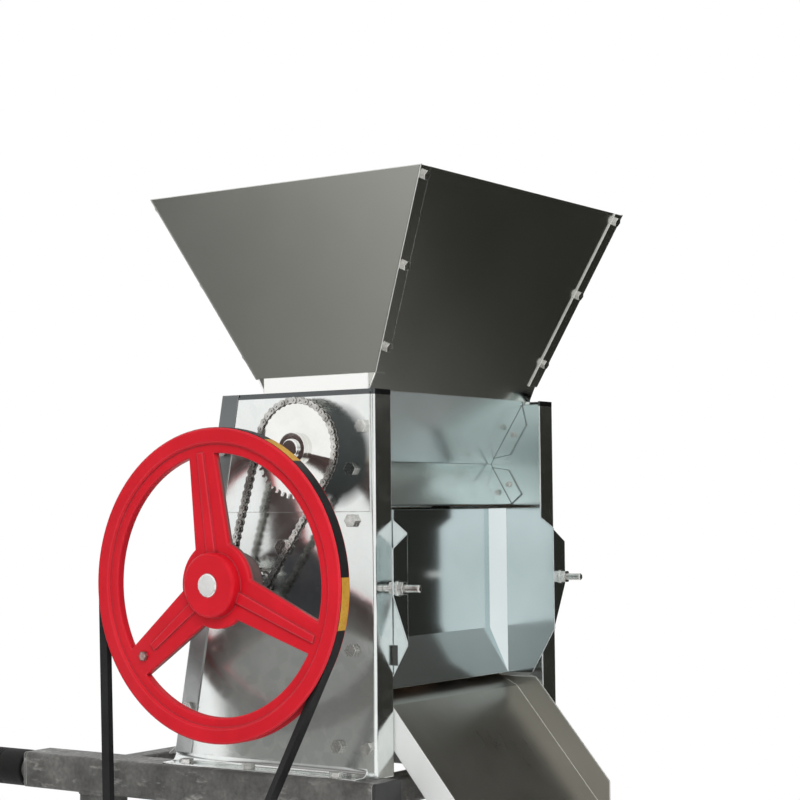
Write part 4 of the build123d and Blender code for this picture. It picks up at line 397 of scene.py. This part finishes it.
# Drum: a steel barrel under a sleeve of copper sheet, punched with rows of knobs that rub the skins off.
# The knobs are polished by the fruit, and the sheet between them stays brown.
punched_copper, tree, shader, place = new_finish("punched_copper")
marks = mottle(tree, place, patches=16.0, specks=220.0)
edge_rub_and_light = rub_and_light_near_edges(tree, radius=0.002, reach=0.2)
tone = blend(tree, marks["Patch"], (0.50, 0.22, 0.11, 1), (0.72, 0.38, 0.22, 1))
tree.links.new(blend(tree, edge_rub_and_light["Edge"], tone, (0.9, 0.56, 0.36, 1)), shader.inputs["Base Color"])
shader.inputs["Metallic"].default_value = 1.0
tree.links.new(spread(tree, marks["Speck"], 0.0, 1.0, 0.24, 0.42), shader.inputs["Roughness"])
bump = put(tree, "Bump", Strength=0.2, Distance=0.0003, Height=marks["Speck"])
tree.links.new(bump.outputs[0], shader.inputs["Normal"])
dress(punched_copper, "drum_sleeve")


# Throat and breast: bright cold sheet, folded sharp and left unpolished, blue-white, with one cheek mirrored in
# the next. The throat is duller, because the fruit rubs over it, and its edges and folds are darkened as painted
# shade.
def folded_sheet(name, sharp, dull, pale, deep, edge, edge_rub_and_shade, radius):
    """A finish for sheet that is sharp to dull from cloud to cloud, with its edges given a tone of their own: rubbed
    wear on the breast, painted shade on the throat.
    """
    finish, tree, shader, place = new_finish(name)
    zinc = put(tree, "Group", {"node_tree": zinc_sheet}, Place=place, Spangle=120.0, Wave=5.0).outputs
    edge_rub_and_light = rub_and_light_near_edges(tree, radius=radius, reach=0.12)
    tone = blend(tree, zinc["Cloud"], pale, deep)
    tone = blend(tree, reckon(tree, "MULTIPLY", edge_rub_and_light["Edge"], edge_rub_and_shade), tone, edge)
    tree.links.new(tone, shader.inputs["Base Color"])
    shader.inputs["Metallic"].default_value = 1.0
    tree.links.new(spread(tree, zinc["Cloud"], 0.0, 1.0, sharp, dull), shader.inputs["Roughness"])
    bump = put(tree, "Bump", Strength=1.0, Distance=0.0004, Height=zinc["Wave"], Normal=edge_rub_and_light["Normal"])
    tree.links.new(bump.outputs[0], shader.inputs["Normal"])
    return finish


bright_edge, painted_shade_edge = (0.90, 0.915, 0.91, 1), (0.10, 0.12, 0.12, 1)
breast_sheet = folded_sheet(
    "breast_sheet", sharp=0.11, dull=0.14, pale=(0.72, 0.785, 0.795, 1), deep=(0.65, 0.72, 0.725, 1),
    edge=bright_edge, edge_rub_and_shade=0.3, radius=0.0012,
)
# Painted shade: the throat's edges and folds take a near-black tone.
throat_sheet = folded_sheet(
    "throat_sheet", sharp=0.16, dull=0.24, pale=(0.75, 0.825, 0.82, 1), deep=(0.64, 0.725, 0.715, 1),
    edge=painted_shade_edge, edge_rub_and_shade=0.9, radius=0.0022,
)
dress(breast_sheet, "breast_plate", "chute_brackets")
dress(throat_sheet, "throat_plate", "throat_liners", "throat_back_plate")


# Chute and slide: folded from satin steel sheet with a faint grain down the slope, warm grey and smeared where
# beans and water have run. Its side walls are painted paler than its floor, as painted light, and its edges carry
# a painted highlight. The chute's outside has stayed pale and dull.
def face_normal(tree):
    return put(tree, "SeparateXYZ", Vector=put(tree, "NewGeometry").outputs["Normal"]).outputs


chute_sheet, tree, shader, place = new_finish("chute_sheet")
grain = put(tree, "Mapping", Vector=place, Scale=(420.0, 6.0, 6.0)).outputs[0]
grain = put(tree, "TexNoise", Vector=grain, Scale=1.0, Detail=3.0).outputs[0]
marks = mottle(tree, place, patches=11.0, specks=150.0)
edge_rub_and_light = rub_and_light_near_edges(tree, radius=0.0014, reach=0.16)
tone = blend(tree, marks["Patch"], (0.31, 0.303, 0.273, 1), (0.37, 0.363, 0.332, 1))
# Painted light: the side walls of the sheet are given a paler tone than its floor.
facing = face_normal(tree)["X"]
lit_side_walls = spread(tree, reckon(tree, "ABSOLUTE", facing, 0.0), 0.3, 0.7)
tone = blend(tree, lit_side_walls, tone, (0.66, 0.645, 0.59, 1))
chute_half, skin_from, skin_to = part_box("discharge_chute")[1].x, 0.0007, 0.0003
across = reckon(tree, "ABSOLUTE", put(tree, "SeparateXYZ", Vector=place).outputs["X"], 0.0)
outside = spread(tree, across, chute_half - skin_from, chute_half - skin_to)
tone = blend(tree, outside, tone, (0.80, 0.815, 0.80, 1))
# Painted highlight: the edges and the corner between floor and walls are lightened to a pale tone.
tone = blend(tree, reckon(tree, "MULTIPLY", edge_rub_and_light["Edge"], 0.8), tone, (0.88, 0.87, 0.83, 1))
tree.links.new(tone, shader.inputs["Base Color"])
tree.links.new(spread(tree, outside, 0.0, 1.0, 1.0, 0.25), shader.inputs["Metallic"])
rough = spread(tree, grain, 0.3, 0.7, 0.26, 0.31)
rough = reckon(tree, "ADD", rough, spread(tree, marks["Patch"], 0.0, 1.0, 0.0, 0.05))
rough = reckon(tree, "MULTIPLY", rough, spread(tree, outside, 0.0, 1.0, 1.0, 1.6))
tree.links.new(rough, shader.inputs["Roughness"])
tree.links.new(edge_rub_and_light["Normal"], shader.inputs["Normal"])
dress(chute_sheet, "discharge_chute", "skin_slide")


# Hopper: four folded sheets bolted together at flanges down their corners, with an upright skirt in the casing.
# The slopes have a satin face that throws back the floor as one soft tone; the upright skirt is painted near white as
# a painted highlight.
hopper_sheet, tree, shader, place = new_finish("hopper_sheet")
zinc = put(tree, "Group", {"node_tree": zinc_sheet}, Place=place, Spangle=70.0, Wave=3.0).outputs
edge_rub_and_light = rub_and_light_near_edges(tree, radius=0.0014, reach=0.16)
tone = blend(tree, zinc["Cloud"], (0.715, 0.72, 0.688, 1), (0.75, 0.755, 0.722, 1))
slope = face_normal(tree)["Z"]
# Painted highlight: the upright faces, the skirt among them, take a near-white tone.
skirt_highlight = spread(tree, reckon(tree, "ABSOLUTE", slope, 0.0), 0.02, 0.08, 1.0, 0.0)
tone = blend(tree, skirt_highlight, tone, (0.95, 0.955, 0.93, 1))
tone = blend(tree, reckon(tree, "MULTIPLY", edge_rub_and_light["Edge"], 0.7), tone, (0.92, 0.92, 0.90, 1))
tree.links.new(tone, shader.inputs["Base Color"])
shader.inputs["Metallic"].default_value = 1.0
tree.links.new(spread(tree, zinc["Cloud"], 0.0, 1.0, 0.17, 0.20), shader.inputs["Roughness"])
bump = put(tree, "Bump", Strength=1.0, Distance=0.0003, Height=zinc["Wave"], Normal=edge_rub_and_light["Normal"])
tree.links.new(bump.outputs[0], shader.inputs["Normal"])
dress(hopper_sheet, "hopper_left_sheet", "hopper_right_sheet", "hopper_front_sheet", "hopper_rear_sheet")


# Bolts, nuts and studs: hexagon heads at every joint of the sheets, and the two studs that carry the breast.
# They are plated steel, bright on the hexagons' corners and duller in their faces.
plated_steel, tree, shader, place = new_finish("plated_steel")
marks = mottle(tree, place, patches=120.0, specks=900.0)
edge_rub_and_light = rub_and_light_near_edges(tree, radius=0.0009, reach=0.2)
tone = blend(tree, marks["Patch"], (0.46, 0.455, 0.43, 1), (0.74, 0.735, 0.71, 1))
tone = blend(tree, reckon(tree, "MULTIPLY", edge_rub_and_light["Edge"], 0.8), tone, (0.92, 0.92, 0.90, 1))
tree.links.new(tone, shader.inputs["Base Color"])
shader.inputs["Metallic"].default_value = 1.0
tree.links.new(spread(tree, marks["Speck"], 0.0, 1.0, 0.14, 0.30), shader.inputs["Roughness"])
bump = put(tree, "Bump", Strength=0.2, Distance=0.0002, Height=marks["Speck"], Normal=edge_rub_and_light["Normal"])
tree.links.new(bump.outputs[0], shader.inputs["Normal"])
dress(plated_steel, "hopper_bolts", "hopper_nuts", "throat_screws", "adjusting_studs", "casing_bolts", "casing_nuts")
dress(plated_steel, "bearing_bolts", "adjusting_nuts", "motor_tie_screws", "motor_bolts")


# Chain drive: a large plated sprocket on the feed roller, a small one on the drum and a roller chain between.
# The sprocket's face and the chain's side plates are rubbed bright, and between the plates sits dark oil.
sprocket_plate, tree, shader, place = new_finish("sprocket_plate")
marks = mottle(tree, place, patches=30.0, specks=320.0)
edge_rub_and_light = rub_and_light_near_edges(tree, radius=0.001, reach=0.2)
tone = blend(tree, marks["Patch"], (0.84, 0.84, 0.81, 1), (0.93, 0.93, 0.905, 1))
tree.links.new(blend(tree, edge_rub_and_light["Edge"], tone, (0.95, 0.95, 0.94, 1)), shader.inputs["Base Color"])
shader.inputs["Metallic"].default_value = 1.0
tree.links.new(spread(tree, marks["Patch"], 0.0, 1.0, 0.10, 0.18), shader.inputs["Roughness"])
tree.links.new(edge_rub_and_light["Normal"], shader.inputs["Normal"])
dress(sprocket_plate, "large_sprocket")

oiled_chain, tree, shader, place = new_finish("oiled_chain")
marks = mottle(tree, place, patches=90.0, specks=700.0)
edge_rub_and_light = rub_and_light_near_edges(tree, radius=0.0008, reach=0.25)
tone = blend(tree, marks["Patch"], (0.022, 0.021, 0.019, 1), (0.11, 0.105, 0.095, 1))
facing = face_normal(tree)["X"]
flank = spread(tree, reckon(tree, "ABSOLUTE", facing, 0.0), 0.6, 0.9)
rubbed = blend(tree, marks["Patch"], (0.34, 0.33, 0.305, 1), (0.78, 0.77, 0.74, 1))
tree.links.new(blend(tree, flank, tone, rubbed), shader.inputs["Base Color"])
shader.inputs["Metallic"].default_value = 0.9
tree.links.new(spread(tree, marks["Speck"], 0.0, 1.0, 0.18, 0.4), shader.inputs["Roughness"])
tree.links.new(edge_rub_and_light["Normal"], shader.inputs["Normal"])
dress(oiled_chain, "roller_chain")


# Flywheel: a three-spoke iron casting on the drum shaft, ground at the rim and sprayed with red enamel from the front.
# The sand-cast skin shows faintly through it. The back only has dark primer, which also serves as painted shade there,
# and the spokes' rear sides carry its tone as painted shade.
red_enamel, tree, shader, place = new_finish("red_enamel")
cast = put(tree, "Group", {"node_tree": cast_skin}, Place=place, Grain=240.0).outputs
edge_rub_and_light = rub_and_light_near_edges(tree, radius=0.003, reach=0.2)
marks = mottle(tree, place, patches=12.0, specks=140.0)
tone = blend(tree, marks["Patch"], (0.60, 0.010, 0.021, 1), (0.68, 0.013, 0.027, 1))
tone = blend(tree, reckon(tree, "MULTIPLY", cast["Hollow"], 0.18), tone, (0.44, 0.007, 0.014, 1))
# Painted highlight: the enamel's edges are lightened to a pale red.
tone = blend(tree, reckon(tree, "MULTIPLY", edge_rub_and_light["Edge"], 0.5), tone, (0.84, 0.13, 0.16, 1))
# Painted shade: the enamel is darkened in its corners and creases, where shade falls.
crevice_shade = put(tree, "AmbientOcclusion", {"samples": 6, "only_local": True}, Distance=0.005).outputs["AO"]
tone = blend(tree, spread(tree, crevice_shade, 0.35, 0.85, 0.75, 0.0), tone, (0.20, 0.003, 0.006, 1))
facing = face_normal(tree)["X"]
wheel_low, wheel_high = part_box("flywheel")
hub = (wheel_low + wheel_high) / 2
outward = put(tree, "Mapping", Vector=place, Location=(0, -hub.y, -hub.z), Scale=(0, 1, 1)).outputs[0]
outward = put(tree, "VectorMath", {"operation": "LENGTH"}, _0=outward).outputs["Value"]
# The back faces take dark primer, dark enough to serve as painted shade as well; the spokes' rear sides, fading in
# along X, take the same tone as painted shade.
spray_end, primer_start, rim_inside, rim_flank = -0.2505, -0.2465, 0.128, 0.136
primer_and_shade = spread(tree, put(tree, "SeparateXYZ", Vector=place).outputs["X"], spray_end, primer_start)
primer_and_shade = reckon(tree, "MULTIPLY", primer_and_shade, spread(tree, outward, rim_inside, rim_flank, 1.0, 0.0))
primer_and_shade = reckon(tree, "MAXIMUM", primer_and_shade, spread(tree, facing, 0.3, 0.7))
tone = blend(tree, primer_and_shade, tone, (0.15, 0.105, 0.10, 1))
tree.links.new(tone, shader.inputs["Base Color"])
tree.links.new(spread(tree, marks["Speck"], 0.0, 1.0, 0.28, 0.40), shader.inputs["Roughness"])
shader.inputs["Specular IOR Level"].default_value = 0.15
bump = put(tree, "Bump", Strength=0.22, Distance=0.0008, Height=cast["Height"], Normal=edge_rub_and_light["Normal"])
tree.links.new(bump.outputs[0], shader.inputs["Normal"])
dress(red_enamel, "flywheel")


# Crank bolt: a hexagon bolt through the end of one spoke, sprayed over together with the wheel.
# Spanners have knocked the paint off the middle of its head and left brown steel, with a dark rim.
sprayed_bolt, tree, shader, place = new_finish("sprayed_bolt")
marks = mottle(tree, place, patches=240.0, specks=900.0)
edge_rub_and_light = rub_and_light_near_edges(tree, radius=0.003, reach=0.12)
tone = blend(tree, marks["Patch"], (0.22, 0.105, 0.092, 1), (0.56, 0.40, 0.37, 1))
tone = blend(tree, reckon(tree, "MULTIPLY", edge_rub_and_light["Edge"], 0.85), tone, (0.10, 0.022, 0.022, 1))
tree.links.new(tone, shader.inputs["Base Color"])
shader.inputs["Metallic"].default_value = 0.6
tree.links.new(spread(tree, marks["Speck"], 0.0, 1.0, 0.30, 0.48), shader.inputs["Roughness"])
tree.links.new(edge_rub_and_light["Normal"], shader.inputs["Normal"])
dress(sprayed_bolt, "crank_bolt")


# Drive belt: a moulded rubber V belt from the motor's pulley up round the flywheel's rim.
# Two plain golden bands on its back are where a printed tape sits; they carry nothing.
belt_rubber, tree, shader, place = new_finish("belt_rubber")
marks = mottle(tree, place, patches=20.0, specks=520.0)
tone = blend(tree, marks["Patch"], (0.006, 0.006, 0.0065, 1), (0.014, 0.0145, 0.015, 1))
band_ends = ((0.586, 0.639, -0.300, -0.150), (0.757, 0.780, -0.165, -0.100))  # lowest, highest, front and back
flank_from = 0.5
where = put(tree, "SeparateXYZ", Vector=place).outputs
band = None
for low, high, front, back in band_ends:
    inside = reckon(tree, "GREATER_THAN", where["Z"], low)
    inside = reckon(tree, "MULTIPLY", inside, reckon(tree, "LESS_THAN", where["Z"], high))
    inside = reckon(tree, "MULTIPLY", inside, reckon(tree, "GREATER_THAN", where["Y"], front))
    inside = reckon(tree, "MULTIPLY", inside, reckon(tree, "LESS_THAN", where["Y"], back))
    band = inside if band is None else reckon(tree, "MAXIMUM", band, inside)
facing = reckon(tree, "ABSOLUTE", face_normal(tree)["X"], 0.0)
band = reckon(tree, "MULTIPLY", band, reckon(tree, "LESS_THAN", facing, flank_from))
gold = blend(tree, marks["Patch"], (0.40, 0.20, 0.020, 1), (0.62, 0.36, 0.045, 1))
gold = blend(tree, spread(tree, marks["Speck"], 0.55, 0.9, 0.0, 0.5), gold, (0.22, 0.10, 0.010, 1))
tree.links.new(blend(tree, band, tone, gold), shader.inputs["Base Color"])
tree.links.new(spread(tree, marks["Speck"], 0.0, 1.0, 0.45, 0.65), shader.inputs["Roughness"])
shader.inputs["Specular IOR Level"].default_value = 0.25
bump = put(tree, "Bump", Strength=0.25, Distance=0.0003, Height=marks["Speck"])
tree.links.new(bump.outputs[0], shader.inputs["Normal"])
dress(belt_rubber, "drive_belt")


# Studio: a plain pale floor that runs out to white, large soft lamps, and glowing boards out of the picture
# that only glossy faces see: painted reflections, toned like the boards stood round polished metal.
def seen_directly(tree):
    """Where the camera, a mirror or a glass looks, and not where light only falls."""
    path = put(tree, "LightPath").outputs
    seen = reckon(tree, "MAXIMUM", path["Is Glossy Ray"], path["Is Transmission Ray"])
    return reckon(tree, "MAXIMUM", path["Is Camera Ray"], seen)


floor_size, glow_near, glow_far, glow_least = 80, 0.8, 2.2, 0.72
bpy.ops.object.select_all(action="DESELECT")
bpy.ops.mesh.primitive_plane_add(size=floor_size, location=(0, 0, 0))
floor = bpy.context.object
floor.name = "floor"
pale_floor = bpy.data.materials.new("pale_floor")
pale_floor.use_nodes = True
tree = pale_floor.node_tree
tree.nodes.clear()
place = put(tree, "TexCoord").outputs["Object"]
away = put(tree, "VectorMath", {"operation": "LENGTH"}, _0=place).outputs["Value"]
matt = put(tree, "BsdfDiffuse", Color=(0.9, 0.9, 0.9, 1)).outputs[0]
glow = put(tree, "Emission", Color=(1, 1, 1, 1), Strength=1.0).outputs[0]
glowing = reckon(tree, "MULTIPLY", seen_directly(tree), spread(tree, away, glow_near, glow_far, glow_least, 1.0))
put(tree, "OutputMaterial", Surface=put(tree, "MixShader", _0=glowing, _1=matt, _2=glow).outputs[0])
floor.data.materials.append(pale_floor)

world = bpy.data.worlds.new("studio")
bpy.context.scene.world = world
world.use_nodes = True
tree = world.node_tree
tree.nodes.clear()
around = put(tree, "Background", Color=(1, 1, 1, 1), Strength=0.4).outputs[0]
white = put(tree, "Background", Color=(1, 1, 1, 1), Strength=1.0).outputs[0]
put(tree, "OutputWorld", Surface=put(tree, "MixShader", _0=seen_directly(tree), _1=around, _2=white).outputs[0])


def painted_reflection_board(name, centre, size, turn, first, last, cover):
    """A board that only polished metal sees, graded from its first tone to its last along its own Y.

    With a cover, from 0 to 1, it is a round veil that hides that share of what lies behind, and fades out at its rim.
    """
    half, rim_start = 0.5, 0.36
    bpy.ops.mesh.primitive_plane_add(size=1, location=centre, rotation=turn)
    board = bpy.context.object
    board.name = name
    board.scale = (*size, 1)
    paint = bpy.data.materials.new(name)
    paint.use_nodes = True
    tree = paint.node_tree
    tree.nodes.clear()
    place = put(tree, "TexCoord").outputs["Object"]
    along = put(tree, "SeparateXYZ", Vector=place).outputs["Y"]
    tone = blend(tree, spread(tree, along, -half, half), (*first, 1), (*last, 1))
    face = put(tree, "Emission", Color=tone, Strength=1.0).outputs[0]
    if cover is not None:
        outward = put(tree, "VectorMath", {"operation": "LENGTH"}, _0=place).outputs["Value"]
        faded = spread(tree, outward, rim_start, half, 1.0 - cover, 1.0)
        clear = put(tree, "BsdfTransparent").outputs[0]
        face = put(tree, "MixShader", _0=faded, _1=face, _2=clear).outputs[0]
    put(tree, "OutputMaterial", Surface=face)
    board.data.materials.append(paint)
    board.visible_camera = board.visible_diffuse = board.visible_shadow = board.visible_transmission = False


# The strip, the cards and the veils close to the casing take the place of mirror images that its sheet shows in the
# photograph. A row is a board's name, centre, size, turn, first tone, last tone and cover.
upright, lying = radians(90), 0
facing_x, tilted = (upright, 0, radians(90)), (upright, radians(-12), radians(90))
to_right, slantwise, to_left = (lying, 0, radians(-90)), (lying, 0, radians(141.5)), (lying, 0, radians(90))
black, soot, left_dark = (0.026, 0.026, 0.022), (0.020, 0.020, 0.017), (0.0295, 0.0295, 0.0265)
left_pale, right_near, right_shade = (0.54, 0.54, 0.508), (0.079, 0.079, 0.071), (0.0245, 0.0245, 0.021)
right_dusk, right_grey = (0.070, 0.069, 0.063), (0.22, 0.216, 0.204)
panel_low, panel_high = (0.024, 0.026, 0.026), (0.085, 0.094, 0.094)
plate_low, plate_high = (0.27, 0.27, 0.262), (0.14, 0.137, 0.132)
nook_low, nook_high = (0.018, 0.019, 0.023), (0.060, 0.060, 0.064)
front_low, front_high, bright = (0.20, 0.20, 0.195), (0.95, 0.95, 0.93), (1, 1, 1)
front_floor_low, front_floor_high = (0.26, 0.26, 0.255), (0.95, 0.95, 0.94)
right_floor_low, right_floor_high = (0.24, 0.24, 0.235), (0.30, 0.30, 0.295)
for board in (
    ("board_right_low", (2.2, -1.75, 0.5), (2.9, 1.0), facing_x, black, black, None),
    ("board_right_high", (2.2, -1.6, 2.5), (3.2, 3.0), facing_x, right_dusk, right_grey, None),
    ("board_right_near", (2.3, -2.2, 0.004), (5.0, 2.2), to_right, right_near, right_shade, None),
    ("board_right_far", (5.3, -2.2, 0.004), (5.0, 3.8), to_right, soot, soot, None),
    ("board_left_near", (-5.19, 3.661, 0.004), (9.6, 1.99), slantwise, left_dark, left_pale, None),
    ("board_left_far", (-4.175, 4.937, 0.004), (9.6, 1.27), slantwise, left_dark, left_dark, None),
    ("board_left_strip", (-0.307, 0.126, 0.52), (0.040, 0.34), (upright, 0, radians(49)), bright, bright, None),
    ("board_panel_card", (-0.1975, -0.145, 0.764), (0.105, 0.114), facing_x, panel_low, panel_high, 1.0),
    ("board_plate_veil", (-0.2095, -0.0864, 0.5145), (0.263, 0.223), facing_x, plate_low, plate_high, 0.75),
    ("board_chain_nook", (-0.2090, -0.0845, 0.6206), (0.113, 0.101), facing_x, nook_low, nook_high, 0.9),
    ("board_disc_card", (-0.2118, -0.118, 0.7848), (0.098, 0.033), tilted, bright, bright, None),
    ("board_front", (-2.4, -1.0, 1.35), (2.2, 1.0), (upright, 0, radians(-68)), front_low, front_high, None),
    ("board_front_floor", (-1.1, -0.58, 0.004), (0.75, 0.7), to_left, front_floor_low, front_floor_high, None),
    ("board_right_floor", (1.15, -0.58, 0.006), (0.8, 0.9), to_right, right_floor_low, right_floor_high, None),
):
    painted_reflection_board(*board)

lamp_aim = Vector((0, -0.05, 0.65))
for name, spot, width, power in (
    ("key_lamp", (-2.4, -1.8, 2.6), 2.0, 80.0),
    ("fill_lamp", (1.6, -2.6, 1.8), 2.4, 30.0),
    ("back_lamp", (1.4, 2.4, 2.4), 2.2, 30.0),
):
    lamp = bpy.data.lights.new(name, "AREA")
    lamp.size = width
    lamp.energy = power
    light = bpy.data.objects.new(name, lamp)
    light.visible_glossy = False
    bpy.context.collection.objects.link(light)
    light.location = spot
    light.rotation_euler = (lamp_aim - Vector(spot)).to_track_quat("-Z", "Y").to_euler()


# Camera: at the photograph's place, before the left front corner of the casing and a little below its top.
# Its lens and tilt were fitted to the casing's and the hopper's straight edges.
look_yaw, look_pitch, look_roll = radians(55.42), radians(3.163), radians(-0.533)
camera_place, film_width, lens_length = (-1.7753, -1.3306, 0.7116), 36.0, 84.9
camera_data = bpy.data.cameras.new("camera")
camera_data.sensor_width = film_width
camera_data.lens = lens_length
camera = bpy.data.objects.new("camera", camera_data)
bpy.context.collection.objects.link(camera)
camera.location = camera_place
turn = Matrix.Rotation(-look_yaw, 3, "Z") @ Matrix.Rotation(pi / 2 + look_pitch, 3, "X")
camera.rotation_euler = (turn @ Matrix.Rotation(look_roll, 3, "Z")).to_euler()
bpy.context.scene.camera = camera
bpy.context.scene.view_settings.view_transform = "Standard"
